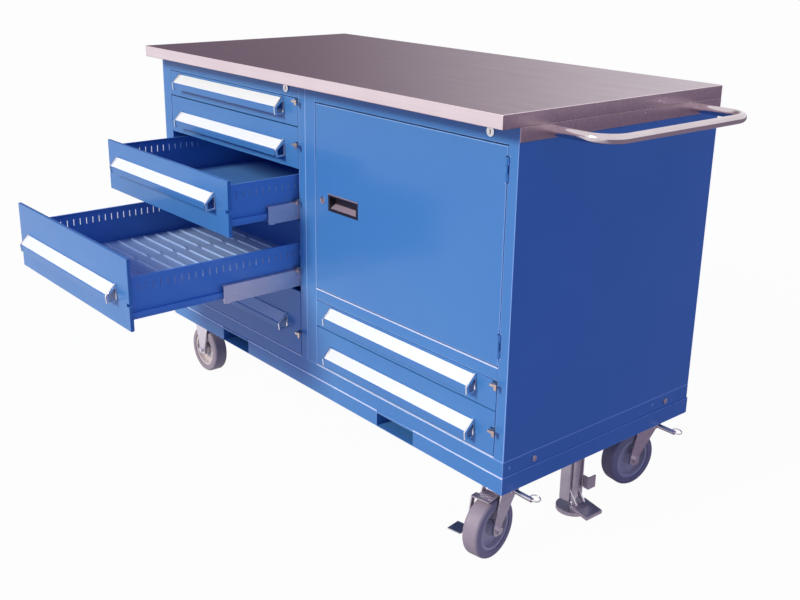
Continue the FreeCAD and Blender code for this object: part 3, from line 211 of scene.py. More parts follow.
floor_mesh = bpy.data.meshes.new("floor")
half_floor = FLOOR_SIZE / 2
floor_mesh.from_pydata(
    [(-half_floor, -half_floor, 0), (half_floor, -half_floor, 0),
     (half_floor, half_floor, 0), (-half_floor, half_floor, 0)],
    [], [(0, 1, 2, 3)])
floor_mesh.materials.append(paper_floor())
floor = bpy.data.objects.new("floor", floor_mesh)
bpy.context.scene.collection.objects.link(floor)

world = bpy.data.worlds.new("white_room")
world.use_nodes = True
room = world.node_tree
room.nodes.clear()
ray = add(room, "ShaderNodeLightPath")
toward = add(room, "ShaderNodeTexCoord")
side = add(room, "ShaderNodeVectorMath", {"operation": "DOT_PRODUCT", 1: DUSKY_WALL_TOWARD},
           {0: toward.outputs["Generated"]})
pale = add(room, "ShaderNodeMapRange", {1: WALL_FADE[0], 2: WALL_FADE[1]},
           {0: side.outputs["Value"]})
walls = add(room, "ShaderNodeMix", {
    "data_type": "RGBA", 6: linear(DUSK), 7: WHITE}, {0: pale.outputs[0]})
fill = [channel * SKY_LIGHT for channel in linear(SKY_TINT)[:3]] + [1]
unseen = add(room, "ShaderNodeMix", {"data_type": "RGBA", 6: fill},
             {0: ray.outputs["Is Glossy Ray"], 7: walls.outputs[2]})
shown = any_of(room, ray, {"Is Camera Ray": 1.0, "Is Transmission Ray": 1.0})
backdrop = add(room, "ShaderNodeMix", {"data_type": "RGBA", 7: WHITE},
               {0: shown, 6: unseen.outputs[2]})
sky = add(room, "ShaderNodeBackground", {"Strength": 1.0}, {"Color": backdrop.outputs[2]})
add(room, "ShaderNodeOutputWorld", links={"Surface": sky.outputs[0]})
bpy.context.scene.world = world
bpy.context.scene.view_settings.view_transform = "Standard"

lamp = bpy.data.lights.new("key_light", "SUN")
lamp.energy = KEY_LIGHT
lamp.color = KEY_TINT
lamp.angle = KEY_SOFT
key = bpy.data.objects.new("key_light", lamp)
key.rotation_euler = (-KEY_FROM).to_track_quat("-Z", "Y").to_euler()
bpy.context.scene.collection.objects.link(key)
print("sky", SKY_LIGHT, "key", KEY_LIGHT)

# %% [markdown]
# Powder coat is a plastic paint, blown on dry and melted in an oven. To the eye it is a deep,
# even colour under a soft gloss with the faint waviness called orange peel. The colour barely
# changes, the gloss varies in patches, and the waves bend the reflections. Real peel is about
# 2 mm from crest to crest, finer than a pixel here, so it is drawn 7 mm apart. The body of the
# paint is matt, so its own mirror part is weak, and a thin glossy skin lies over it. Thin sheet
# is never quite flat either, so a second, long wave bends the reflections into soft clouds.
# A second, lighter finish on the rounded folds paints the highlight that they catch.


# %% Powder coat
POLYMER_IOR = 1.5
PAINT_MIRROR = 0.14
SHEET_WAVE = 0.22
SHEET_DEPTH = 0.004
PATCH_SIZE = 0.35
SKIN_WEIGHT = 0.36
SKIN_ROUGHNESS = 0.14
PEEL_MM = 7.0
PEEL_DEPTH_MM = 0.05


def powder_coat(name, colour, deep, gloss):
    """Blue enamel over sheet steel: a dielectric with a patchy soft gloss."""
    material, tree = new_finish(name)
    where = add(tree, "ShaderNodeTexCoord")
    patches = add(tree, "ShaderNodeTexNoise", {"Scale": 1 / PATCH_SIZE, "Detail": 3},
                  {"Vector": where.outputs["Object"]})
    tint = add(tree, "ShaderNodeMix", {
        "data_type": "RGBA", 6: linear(colour), 7: linear(deep),
    }, {0: patches.outputs["Fac"]})
    rough = add(tree, "ShaderNodeMapRange", {3: gloss - 0.05, 4: gloss + 0.07},
                {0: patches.outputs["Fac"]})
    peel = add(tree, "ShaderNodeTexNoise", {"Scale": 1000 / PEEL_MM, "Detail": 1},
               {"Vector": where.outputs["Object"]})
    sheet = add(tree, "ShaderNodeTexNoise", {"Scale": 1 / SHEET_WAVE, "Detail": 1},
                {"Vector": where.outputs["Object"]})
    buckle = add(tree, "ShaderNodeBump", {"Strength": 1.0, "Distance": SHEET_DEPTH},
                 {"Height": sheet.outputs["Fac"]})
    relief = add(tree, "ShaderNodeBump", {"Strength": 0.35, "Distance": PEEL_DEPTH_MM * MM},
                 {"Height": peel.outputs["Fac"], "Normal": buckle.outputs[0]})
    paint = add(tree, "ShaderNodeBsdfPrincipled", {
        "IOR": POLYMER_IOR, "Specular IOR Level": PAINT_MIRROR,
        "Coat Weight": SKIN_WEIGHT, "Coat Roughness": SKIN_ROUGHNESS,
    }, {
        "Base Color": tint.outputs[2],
        "Roughness": rough.outputs[0],
        "Normal": relief.outputs[0],
    })
    add(tree, "ShaderNodeOutputMaterial", links={"Surface": paint.outputs[0]})
    return material


enamel = powder_coat("powder_coat_blue", "#4c83bc", "#4078b4", 0.32)
# A paler copy of the blue paints the highlight on rounded folds, slot lips and weld spots.
painted_fold_highlight = powder_coat("powder_coat_painted_fold_highlight", "#8fb2e2", "#7aa2da", 0.28)
# A near-white copy paints the highlight on ledges that look up into the light.
painted_ledge_highlight = powder_coat("powder_coat_painted_ledge_highlight", "#e6ebfa", "#d3ddf6", 0.25)
# A paler copy of the blue for the trays paints light into their shaded insides.
tray_enamel_painted_light = powder_coat("powder_coat_tray_painted_light", "#6398d8", "#568ccf", 0.34)
insert_coat = powder_coat("powder_coat_insert", "#a3bbe0", "#92acd6", 0.38)
print("made", enamel.name, painted_fold_highlight.name, tray_enamel_painted_light.name, insert_coat.name)

# %% [markdown]
# Brushed and drawn metals are covered with fine parallel scratches. They are far finer than a
# pixel, so they show only as streaks: long along the brushing, short across it. A noise that
# is stretched along one axis gives them. The same recipe, with other stretches and tints,
# makes brushed and polished stainless steel, zinc and copper plate, chrome, the polished end
# caps and brass.


# %% Metals
def worked_metal(name, light, dark, rough, grain_mm, wave_mm=0.02, streak=0.5):
    """A metal with grain; grain_mm holds the length of its streaks along x, y and z."""
    material, tree = new_finish(name)
    where = add(tree, "ShaderNodeTexCoord")
    stretch = add(tree, "ShaderNodeMapping", {
        "Scale": [1000 / length for length in grain_mm],
    }, {"Vector": where.outputs["Object"]})
    grain = add(tree, "ShaderNodeTexNoise", {"Scale": 1, "Detail": 4, "Roughness": 0.6},
                {"Vector": stretch.outputs[0]})
    clouds = add(tree, "ShaderNodeTexNoise", {"Scale": 7, "Detail": 2},
                 {"Vector": where.outputs["Object"]})
    both = add(tree, "ShaderNodeMix", {"data_type": "FLOAT", 0: streak},
               {2: clouds.outputs["Fac"], 3: grain.outputs["Fac"]})
    tint = add(tree, "ShaderNodeMix", {
        "data_type": "RGBA", 6: linear(dark), 7: linear(light),
    }, {0: both.outputs[0]})
    dull = add(tree, "ShaderNodeMapRange", {3: rough + 0.08, 4: rough - 0.06},
               {0: both.outputs[0]})
    relief = add(tree, "ShaderNodeBump", {"Strength": 0.3, "Distance": wave_mm * MM},
                 {"Height": grain.outputs["Fac"]})
    metal = add(tree, "ShaderNodeBsdfPrincipled", {"Metallic": 1.0}, {
        "Base Color": tint.outputs[2],
        "Roughness": dull.outputs[0],
        "Normal": relief.outputs[0],
    })
    add(tree, "ShaderNodeOutputMaterial", links={"Surface": metal.outputs[0]})
    return material


stainless = worked_metal("stainless_brushed", "#dcc9d4", "#957c8c", 0.28, (420, 7, 7), 0.03,
                         0.75)
# A paler copy of the brushed steel paints the highlight on the worktop's front edge and bends.
painted_highlight_steel = worked_metal("stainless_painted_highlight", "#f4e4ea", "#dac6d0", 0.34, (420, 7, 7), 0.03)
tube_steel = worked_metal("stainless_tube", "#e8dee2", "#bcaeb6", 0.12, (6, 60, 6))
zinc = worked_metal("zinc_plated_steel", "#f3eef6", "#a79cb0", 0.32, (9, 14, 9), 0.05)
slide_zinc = worked_metal("zinc_plated_slide", "#e8dee8", "#c8bccc", 0.46, (20, 60, 12), 0.03)
cap_white = worked_metal("polished_end_cap", "#f2f1f6", "#dcdce6", 0.22, (8, 8, 8), 0.01)
chrome = worked_metal("chromed_brass", "#eceaee", "#c6c4cc", 0.12, (8, 8, 8), 0.01)
lever_copper = worked_metal("copper_plated_lever", "#e6d6d2", "#a58478", 0.24, (6, 6, 6))
# A dark brass: the plug's own brass, darkened as painted shade in the keyway.
keyway_brass_and_shade = worked_metal("brass_keyway_painted_shade", "#b08a70", "#6e4c3e", 0.30, (4, 4, 4))
print("metals:", stainless.name, zinc.name, cap_white.name, chrome.name)

# %% [markdown]
# Rubber treads, cast wheel centres, the black pull of the door and the paper labels are all
# dull, non-metallic stuffs. What differs is the size of their grain and how strongly it shows,
# so one recipe serves for all of them.


# %% Rubber, castings, plastics and paper
def dull_stuff(name, light, dark, rough, grain_mm, bump_mm):
    """Moulded or cast material with an even grain of a given size."""
    material, tree = new_finish(name)
    where = add(tree, "ShaderNodeTexCoord")
    grain = add(tree, "ShaderNodeTexNoise", {"Scale": 1000 / grain_mm, "Detail": 4},
                {"Vector": where.outputs["Object"]})
    clouds = add(tree, "ShaderNodeTexNoise", {"Scale": 20, "Detail": 2},
                 {"Vector": where.outputs["Object"]})
    both = add(tree, "ShaderNodeMix", {"data_type": "FLOAT", 0: 0.5},
               {2: clouds.outputs["Fac"], 3: grain.outputs["Fac"]})
    tint = add(tree, "ShaderNodeMix", {
        "data_type": "RGBA", 6: linear(dark), 7: linear(light),
    }, {0: both.outputs[0]})
    rubbed = add(tree, "ShaderNodeMapRange", {3: rough + 0.08, 4: rough - 0.08},
                 {0: both.outputs[0]})
    relief = add(tree, "ShaderNodeBump", {"Strength": 0.4, "Distance": bump_mm * MM},
                 {"Height": grain.outputs["Fac"]})
    stuff = add(tree, "ShaderNodeBsdfPrincipled", {"IOR": POLYMER_IOR}, {
        "Base Color": tint.outputs[2],
        "Roughness": rubbed.outputs[0],
        "Normal": relief.outputs[0],
    })
    add(tree, "ShaderNodeOutputMaterial", links={"Surface": stuff.outputs[0]})
    return material


tread_rubber = dull_stuff("grey_tread_rubber", "#a3949c", "#847680", 0.55, 3, 0.15)
hub_cast = dull_stuff("cast_wheel_centre", "#e6d9d4", "#aa9c9a", 0.42, 4, 0.10)
black_pull = dull_stuff("black_moulded_plastic", "#241d26", "#15121a", 0.38, 2, 0.08)
# A pale satin grey that paints the highlight on the pull's lip and the reflection in its scoop.
pull_painted_reflection = dull_stuff("satin_pull_painted_reflection", "#a3919c", "#86757f", 0.35, 5, 0.05)
label_paper = dull_stuff("paper_label_strip", "#fbfaf6", "#f4f3ee", 0.35, 30, 0.02)
board_core = dull_stuff("particle_board", "#b99c74", "#8d7350", 0.75, 3, 0.2)
print("dull finishes:", tread_rubber.name, hub_cast.name, black_pull.name)

# %% [markdown]
# A CAD node arrives as loose triangles, solid after solid. Its own mesh may not change, but a
# copy may. Walking through the triangles and cutting wherever the surface has just closed
# gives the solids back one by one, each with its corners joined. That is more reliable than
# merging everything, which would weld solids that only touch.


# %% Take a node apart into its solids
GRID = 2e5
FLAT = math.radians(0.3)


def solids_of(node):
    """The closed shells of a CAD node, in order, as bmeshes."""
    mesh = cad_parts[node].data
    corners = [tuple(round(c * GRID) for c in v.co) for v in mesh.vertices]
    shells, faces, unmatched = [], [], {}
    for polygon in mesh.polygons:
        ring = [corners[i] for i in polygon.vertices]
        faces.append(polygon.vertices[:])
        for start, end in zip(ring, ring[1:] + ring[:1]):
            if start == end:
                continue
            if unmatched.get((end, start), 0):
                unmatched[end, start] -= 1
                if not unmatched[end, start]:
                    del unmatched[end, start]
            else:
                unmatched[start, end] = unmatched.get((start, end), 0) + 1
        if not unmatched:
            shells.append(joined_shell(mesh, corners, faces))
            faces = []
    return shells


def joined_shell(mesh, corners, faces):
    """One bmesh from faces of a mesh, whose equal corners become one vertex."""
    shell = bmesh.new()
    made = {}
    for face in faces:
        ring = []
        for i in face:
            if corners[i] not in made:
                made[corners[i]] = shell.verts.new(mesh.vertices[i].co)
            ring.append(made[corners[i]])
        if len(set(ring)) == len(ring):
            shell.faces.new(ring)
    bmesh.ops.dissolve_limit(shell, angle_limit=FLAT,
                             verts=shell.verts, edges=shell.edges)
    return shell


# %% [markdown]
# No real edge is perfectly sharp: folded sheet has a bend radius, and a sheared edge is broken.
# The tiny rounding is what catches the light. Each solid gets a small bevel on its convex
# edges, except where another plate lies against the edge, because there the real sheet runs on
# without a groove. A point a hair outside each side of the edge tells whether a plate is there.


# %% Round the edges that stand free
SHARP = math.radians(35)
HAIR = 0.4 * MM
BEVEL_STEPS = 2
OWN_FINISH = -1


def limits(shell):
    """Lowest and highest corner of a shell."""
    corners = [v.co for v in shell.verts]
    low = Vector([min(c[i] for c in corners) for i in range(3)])
    high = Vector([max(c[i] for c in corners) for i in range(3)])
    return low, high


def covered(point, boxes):
    """True if the point lies in one of the boxes."""
    return any(all(low[i] < point[i] < high[i] for i in range(3)) for low, high in boxes)


def round_edges(shell, radius, neighbours=(), shortest=0.0, finish=OWN_FINISH):
    """Bevels the free convex edges of a shell that are at least so long."""
    chosen = []
    for edge in shell.edges:
        if not edge.is_manifold or edge.calc_face_angle_signed() < SHARP:
            continue
        if edge.calc_length() < shortest:
            continue
        first, second = (f.normal * HAIR for f in edge.link_faces)
        middle = (edge.verts[0].co + edge.verts[1].co) / 2
        tests = (middle + first - second, middle - first + second, middle + first + second)
        if any(covered(test, neighbours) for test in tests):
            continue
        chosen.append(edge)
    if chosen:
        bmesh.ops.bevel(shell, geom=chosen, offset=radius * MM, segments=BEVEL_STEPS, profile=0.5,
                        affect="EDGES", clamp_overlap=True, material=finish)


# %% [markdown]
# A finished piece is one mesh: the shells joined, smooth faces, hard edges marked, and normals
# weighted by area, so that a flat sheet stays flat right up to its rounded rim. It then rides
# on its CAD body and hides the node that it stands for.

# %% Join shells to a finished piece
HARD_EDGE = math.radians(42)


def finished(name, shells, body, finishes, stands_for=()):
    """One object from (shell, finish number) pairs, riding on a body."""
    whole = bmesh.new()
    for shell, number in shells:
        for face in shell.faces:
            face.material_index = face.material_index or number
        part = bpy.data.meshes.new("part")
        shell.to_mesh(part)
        whole.from_mesh(part)
        bpy.data.meshes.remove(part)
        shell.free()
    for face in whole.faces:
        face.smooth = True
    for edge in whole.edges:
        edge.smooth = not edge.is_manifold or edge.calc_face_angle() < HARD_EDGE
    mesh = bpy.data.meshes.new(name)
    whole.to_mesh(mesh)
    whole.free()
    for finish in finishes:
        mesh.materials.append(finish)
    piece = bpy.data.objects.new(name, mesh)
    bpy.context.scene.collection.objects.link(piece)
    weigh = piece.modifiers.new("weigh", "WEIGHTED_NORMAL")
    weigh.keep_sharp = True
    bake_modifiers(piece)
    return settle(piece, body, stands_for)


def bake_modifiers(piece):
    """Turns the evaluated result into the piece's plain mesh and removes the modifiers."""
    graph = bpy.context.evaluated_depsgraph_get()
    made = bpy.data.meshes.new_from_object(piece.evaluated_get(graph), depsgraph=graph)
    piece.modifiers.clear()
    piece.data = made


def settle(piece, body, stands_for=()):
    """The piece rides on its body and hides the nodes that it stands for."""
    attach(piece, body)
    if stands_for:
        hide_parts(*stands_for)
    return piece


PLAIN_RADIUS = 0.6


def dressed(node, body, finishes, radius=PLAIN_RADIUS, shortest=0.0, pick=None, radii=None,
            painted_edge_finish=None, extra=()):
    """A CAD node with rounded edges; pick gives each solid's finish number.

    The argument for the rounded edges gives the finish number of the rounded edges of solids
    that have the first finish, a paler one that paints their highlight, and extra holds more
    (shell, finish number) pairs.
    """
    shells = solids_of(node)
    boxes = [limits(shell) for shell in shells]
    pairs = []
    for number, shell in enumerate(shells):
        others = [box for i, box in enumerate(boxes) if i != number]
        size = (radii or {}).get(number, radius)
        kind = pick(number) if pick else 0
        if size:
            round_edges(shell, size, others, shortest,
                        painted_edge_finish if painted_edge_finish and not kind else OWN_FINISH)
        pairs.append((shell, kind))
    return finished(node + "_dressed", pairs + list(extra), body, finishes, (node,))


def bar_along_x(section, x_low, x_high):
    """A closed shell: a section of (y, z) corners drawn out along x, all in millimetres."""
    shell = bmesh.new()
    ends = [[shell.verts.new(place(x, y, z)) for y, z in section] for x in (x_low, x_high)]
    shell.faces.new(ends[0])
    shell.faces.new(reversed(ends[1]))
    for i in range(len(section)):
        j = (i + 1) % len(section)
        shell.faces.new((ends[0][i], ends[1][i], ends[1][j], ends[0][j]))
    bmesh.ops.recalc_face_normals(shell, faces=shell.faces)
    return shell


def slab(x, y, z):
    """A rectangular bar between two limits along each axis, in millimetres."""
    return bar_along_x([(y[0], z[0]), (y[1], z[0]), (y[1], z[1]), (y[0], z[1])], *x)


def in_mm(node):
    """Lowest and highest corner of a CAD node in the lesson's millimetres."""
    low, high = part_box(node)
    shift = Vector((DATUM_X, DATUM_Y, 0))
    return low / MM + shift, high / MM + shift


# %% [markdown]
# What repeats, or follows a line, is grown with Geometry Nodes. Each tree takes its sizes
# through named inputs, so that the same tree serves for every row. It ends by turning the
# copies into real mesh and giving them their finish, and the result is kept as a plain mesh.

# %% Helpers for Geometry Nodes
LENGTH, VECTOR, COUNT, FINISH = ("NodeSocketFloat", "NodeSocketVector", "NodeSocketInt",
                                 "NodeSocketMaterial")


def new_tree(name, inputs):
    """An empty geometry tree with named inputs, and the node that gives them."""
    tree = bpy.data.node_groups.new(name, "GeometryNodeTree")
    tree.interface.new_socket("Geometry", in_out="OUTPUT", socket_type="NodeSocketGeometry")
    tree.interface.new_socket("Geometry", in_out="INPUT", socket_type="NodeSocketGeometry")
    for label, kind in inputs.items():
        tree.interface.new_socket(label, in_out="INPUT", socket_type=kind)
    return tree, tree.nodes.new("NodeGroupInput").outputs


def end_tree(tree, copies, finish):
    """Closes a tree: copies become real mesh and get their finish."""
    real = add(tree, "GeometryNodeRealizeInstances", links={"Geometry": copies})
    smooth = add(tree, "GeometryNodeSetShadeSmooth", links={0: real.outputs[0]})
    painted = add(tree, "GeometryNodeSetMaterial",
                  links={"Geometry": smooth.outputs[0], "Material": finish})
    add(tree, "NodeGroupOutput", links={"Geometry": painted.outputs[0]})


def grown(name, tree, values, body, points=(), lines=(), stands_for=()):
    """One piece grown by a tree from points or a line, kept as a plain mesh."""
    seed = bpy.data.meshes.new(name)
    seed.from_pydata([tuple(p) for p in points], list(lines), [])
    piece = bpy.data.objects.new(name, seed)
    bpy.context.scene.collection.objects.link(piece)
    grow = piece.modifiers.new("grow", "NODES")
    grow.node_group = tree
    for item in tree.interface.items_tree:
        if item.in_out == "INPUT" and item.name in values:
            grow[item.identifier] = values[item.name]
    bake_modifiers(piece)
    return settle(piece, body, stands_for)


# %% [markdown]
# Domed heads: rivets and spots of weld. A ball is flattened along one axis and half sunk in
# the sheet, which is just how a rivet head sits.

# %% Tree for domed heads
HEAD_SIDES = 20
HEAD_RINGS = 10
dome_tree, given = new_tree("domed_heads", {"Radius": LENGTH, "Flatten": VECTOR,
                                            "Finish": FINISH})
ball = add(dome_tree, "GeometryNodeMeshUVSphere", {"Segments": HEAD_SIDES, "Rings": HEAD_RINGS},
           {"Radius": given["Radius"]})
heads = add(dome_tree, "GeometryNodeInstanceOnPoints",
            links={"Points": given["Geometry"], "Instance": ball.outputs[0],
                   "Scale": given["Flatten"]})
end_tree(dome_tree, heads.outputs[0], given["Finish"])

# %% [markdown]
# Slot lips: the press that cuts the divider slots of a tray pushes a lip outwards at each.
# Two rows of little bars, one along each wall, stand at the pitch of the slots.

# %% Tree for slot lips
lip_tree, given = new_tree("slot_lips", {"First": VECTOR, "Pitch": LENGTH, "Count": COUNT,
                                         "Across": LENGTH, "Bar": VECTOR, "Finish": FINISH})
step = add(lip_tree, "ShaderNodeCombineXYZ", links={"Y": given["Pitch"]})
row = add(lip_tree, "GeometryNodeMeshLine", {"mode": "OFFSET"},
          {"Count": given["Count"], "Start Location": given["First"],
           "Offset": step.outputs[0]})
over = add(lip_tree, "ShaderNodeCombineXYZ", links={"X": given["Across"]})
twin = add(lip_tree, "GeometryNodeTransform",
           links={"Geometry": row.outputs[0], "Translation": over.outputs[0]})
rows = add(lip_tree, "GeometryNodeJoinGeometry", links={"Geometry": row.outputs[0]})
lip_tree.links.new(twin.outputs[0], rows.inputs["Geometry"])
bar = add(lip_tree, "GeometryNodeMeshCube", links={"Size": given["Bar"]})
lips = add(lip_tree, "GeometryNodeInstanceOnPoints",
           links={"Points": rows.outputs[0], "Instance": bar.outputs[0]})
end_tree(lip_tree, lips.outputs[0], given["Finish"])

# %% [markdown]
# A bent tube: the bending machine keeps one radius, so a line with sharp corners, rounded by
# that radius, is the whole rule. A circle is drawn along it and the ends are closed.

# %% Tree for a bent tube
TUBE_SIDES = 40
tube_tree, given = new_tree("bent_tube", {"Bend": LENGTH, "Radius": LENGTH, "Steps": COUNT,
                                          "Finish": FINISH})
path = add(tube_tree, "GeometryNodeMeshToCurve", links={"Mesh": given["Geometry"]})
bent = add(tube_tree, "GeometryNodeFilletCurve", {"mode": "POLY"},
           {"Curve": path.outputs[0], "Count": given["Steps"], "Radius": given["Bend"]})
ring = add(tube_tree, "GeometryNodeCurvePrimitiveCircle", {"Resolution": TUBE_SIDES},
           {"Radius": given["Radius"]})
tube = add(tube_tree, "GeometryNodeCurveToMesh", {"Fill Caps": True},
           {"Curve": bent.outputs[0], "Profile Curve": ring.outputs[0]})
end_tree(tube_tree, tube.outputs[0], given["Finish"])
print("trees:", dome_tree.name, lip_tree.name, tube_tree.name)

# %% [markdown]
# The two housings are welded boxes of folded sheet. They could be drawn afresh, but that would
# mean measuring them twice, so the CAD's own solids are taken and rounded. Their front posts and
# rails catch a light line along the folded edges, so these get the largest rounding, and the
# paler fold finish paints that highlight on the rounding, on the base as well. The ring round
# each key lock belongs to the housing too, and is chromed. The ledge under the door, the sill
# under the lowest drawers and the top of the low base band look up into the light. A narrow
# pale strip on each paints the highlight that it catches.

# %% Housings and base
POST_RADIUS = 1.9
SHORTEST_FOLD = 5
BEZEL_RADIUS = 0.8
BAND_RADIUS = 1.2
BAND_PROUD = 2.0
HIGHLIGHT_PROUD = 0.5
HIGHLIGHT_DEEP = 2.5
HIGHLIGHT_DROP = 2.2
HIGHLIGHT_RISE = 0.4
BEZEL_OF = {"left_housing": 12, "right_housing": 14}
OPENING = {"left_housing": (-716, -30), "right_housing": (44, 730)}
SILL_LEVEL = 283
DOOR_SILL_LEVEL = 504
BAND_LEVEL = 242
FORK_SLOTS = ((-452, -308), (308, 452))
BAND_END = 762


def painted_highlight_strip(x_low, x_high, level, front=0.0):
    """A narrow pale strip that paints the highlight on a ledge that looks up, at a given level.
    """
    return slab((x_low, x_high), (front - HIGHLIGHT_PROUD, front + HIGHLIGHT_DEEP),
                (level - HIGHLIGHT_DROP, level + HIGHLIGHT_RISE))


for node, bezel in BEZEL_OF.items():
    highlight_strips = [(painted_highlight_strip(*OPENING[node], SILL_LEVEL), 3)]
    if node == "right_housing":
        highlight_strips.append((painted_highlight_strip(*OPENING[node], DOOR_SILL_LEVEL), 3))
    housing = dressed(node, "cabinet", [enamel, painted_fold_highlight, chrome, painted_ledge_highlight],
                      POST_RADIUS, shortest=SHORTEST_FOLD * MM,
                      pick=lambda number, ring=bezel: 2 * int(number == ring),
                      radii={bezel: BEZEL_RADIUS}, painted_edge_finish=1, extra=highlight_strips)
    print(housing.name, len(housing.data.polygons), "faces")

band_stretches = ((-BAND_END, FORK_SLOTS[0][0]), (FORK_SLOTS[0][1], FORK_SLOTS[1][0]),
                  (FORK_SLOTS[1][1], BAND_END))
band_highlight_strips = [(painted_highlight_strip(*stretch, BAND_LEVEL, -BAND_PROUD), 2) for stretch in band_stretches]
dressed("base_frame", "cabinet", [enamel, painted_fold_highlight, painted_ledge_highlight], BAND_RADIUS,
        painted_edge_finish=1, extra=band_highlight_strips)
dressed("fork_channels", "cabinet", [enamel])

# %% [markdown]
# The worktop is a stainless sheet wrapped round a board. The wrap is bent over a soft radius
# along all four sides. The front edge and the bends are brighter than the top, and that is the
# most telling line of the whole piece. A second, paler finish on the faces that look forward or
# lie in a bend paints that highlight with no extra geometry.

# %% Worktop
WRAP_RADIUS = 2.4
CORE_RADIUS = 0.8
SKIRT_RADIUS = 0.9
LOOKS_FORWARD = -0.7
LOOKS_ASLANT = 0.3
worktop = dressed("worktop", "cabinet", [stainless, painted_highlight_steel], WRAP_RADIUS)
# Faces that look forward or lie in a side bend take the paler steel, a painted highlight.
for face in worktop.data.polygons:
    aslant = face.normal.z > LOOKS_ASLANT and abs(face.normal.x) > LOOKS_ASLANT
    if face.normal.y < LOOKS_FORWARD or aslant:
        face.material_index = 1
dressed("worktop_core", "cabinet", [board_core], CORE_RADIUS)
dressed("end_skirt", "cabinet", [stainless], SKIRT_RADIUS)
print("worktop dressed")

# %% [markdown]
# The push handle is polished stainless tube, bent twice and welded to the skirt. The CAD's mesh
# of it could be kept. The bent tube tree is used instead, because three straight lines and one
# bend radius say the whole handle, and its place and size stay those of the CAD.

# %% Push handle
SKIRT_FACE = 762
HANDLE_LEVEL = 1028
HANDLE_ENDS = (107, 620)
HANDLE_REACH = 143
HANDLE_BEND = 60
HANDLE_RADIUS = 11.1
BEND_STEPS = 16
handle_line = [place(SKIRT_FACE, HANDLE_ENDS[0], HANDLE_LEVEL),
               place(SKIRT_FACE + HANDLE_REACH, HANDLE_ENDS[0], HANDLE_LEVEL),
               place(SKIRT_FACE + HANDLE_REACH, HANDLE_ENDS[1], HANDLE_LEVEL),
               place(SKIRT_FACE, HANDLE_ENDS[1], HANDLE_LEVEL)]
push_handle = grown("push_handle_tube", tube_tree,
                    {"Bend": HANDLE_BEND * MM, "Radius": HANDLE_RADIUS * MM,
                     "Steps": BEND_STEPS, "Finish": tube_steel},
                    "cabinet", handle_line, [(0, 1), (1, 2), (2, 3)],
                    ("push_handle",))
print("push handle", len(push_handle.data.polygons), "faces")

# %% [markdown]
# Each drawer is a tray with slotted sides behind a folded front. The front has a clear bend
# radius, the tray's hems a small one. The tray takes a paler copy of the blue, which paints light
# into its shaded inside, and the runner on each side is painted with the tray. The slots come
# from the CAD. The lips beside them repeat, thirty in a row, so the slot lip tree grows them, in
# the paler fold finish, a painted highlight. The two trays behind the shallowest fronts are too
# low for slots.

# %% Drawers
DRAWERS = [f"left_drawer_{n}" for n in range(1, 6)] + [f"right_drawer_{n}" for n in (1, 2)]
LEFT_WALL, RIGHT_WALL, FRONT_SOLID = 2, 3, 4
FRONT_RADIUS = 1.8
TRAY_RADIUS = 0.5
LONG_EDGE = 100
SLOT_DROP = 19
SLOT_HEIGHT = 19
SLOT_FIRST = 23
SLOT_PITCH = 20
SLOT_WIDTH = 3
LIP_WIDE = 2.4
LIP_LONG = 1.2
LIP_SHORTER = 2
TRAY_DEPTH = 640
LOW_TRAY = 48
slots = (TRAY_DEPTH - 2 * SLOT_FIRST) // SLOT_PITCH + 1
for drawer in DRAWERS:
    walls = [limits(shell) for shell in solids_of(drawer)[LEFT_WALL:RIGHT_WALL + 1]]
    dressed(drawer, drawer, [tray_enamel_painted_light, painted_fold_highlight, enamel], TRAY_RADIUS,
            shortest=LONG_EDGE * MM, pick=lambda number: 2 * int(number == FRONT_SOLID),
            radii={FRONT_SOLID: FRONT_RADIUS}, painted_edge_finish=1)
    outer = sorted(edge.x for wall in walls for edge in wall)
    low, high = walls[0]
    if (high.z - low.z) / MM > LOW_TRAY:
        first = Vector((outer[0], low.y + (SLOT_FIRST + SLOT_WIDTH) * MM,
                        high.z - (SLOT_DROP + SLOT_HEIGHT / 2) * MM))
        # The lips take the paler fold finish, a painted highlight.
        grown(drawer + "_lips", lip_tree, {
            "First": first, "Pitch": SLOT_PITCH * MM, "Count": slots,
            "Across": outer[-1] - outer[0],
            "Bar": Vector((LIP_WIDE, LIP_LONG, SLOT_HEIGHT - LIP_SHORTER)) * MM,
            "Finish": painted_fold_highlight,
        }, drawer)
print("drawers:", len(DRAWERS), "slots in a wall:", slots)

# %% [markdown]
# The handle is a bent strip, painted like the front, with a sloped face that carries a paper
# label, and a bright looped cap on each end. The strip and the caps come from the CAD. The
# label is a thin slab lying on the slope, drawn out along the handle from its section.

# %% Handles
HANDLE_LENGTH = 546
HANDLE_OUT = 28
HANDLE_DROP = 25
HANDLE_HEIGHT = 42
LABEL_PROUD = 0.5
LABEL_RIM = 2.6
LABEL_SHORTER = 0.5
STRIP_RADIUS = 0.5
SHORT_EDGE = 4
for drawer in DRAWERS:
    handle = drawer.replace("drawer", "handle")
    low, high = in_mm(handle)
    middle = (low.x + high.x) / 2
    top = (low.z + high.z) / 2 + HANDLE_HEIGHT / 2
    wall = high.y
    half = HANDLE_LENGTH / 2
    dressed(handle, drawer, [enamel, cap_white], STRIP_RADIUS,
            shortest=SHORT_EDGE * MM, pick=lambda number: int(number > 0))
    slope = Vector((-HANDLE_OUT, -HANDLE_DROP)).normalized()
    out = Vector((slope.y, -slope.x))
    start = slope * LABEL_RIM
    stop = Vector((-HANDLE_OUT, -HANDLE_DROP)) - slope * LABEL_RIM
    section = [start, start + out * LABEL_PROUD, stop + out * LABEL_PROUD, stop]
    label = bar_along_x([(wall + p.x, top + p.y) for p in section],
                        middle - half + LABEL_SHORTER, middle + half - LABEL_SHORTER)
    finished(handle + "_label", [(label, 0)], drawer, [label_paper])
print("handles:", len(DRAWERS))

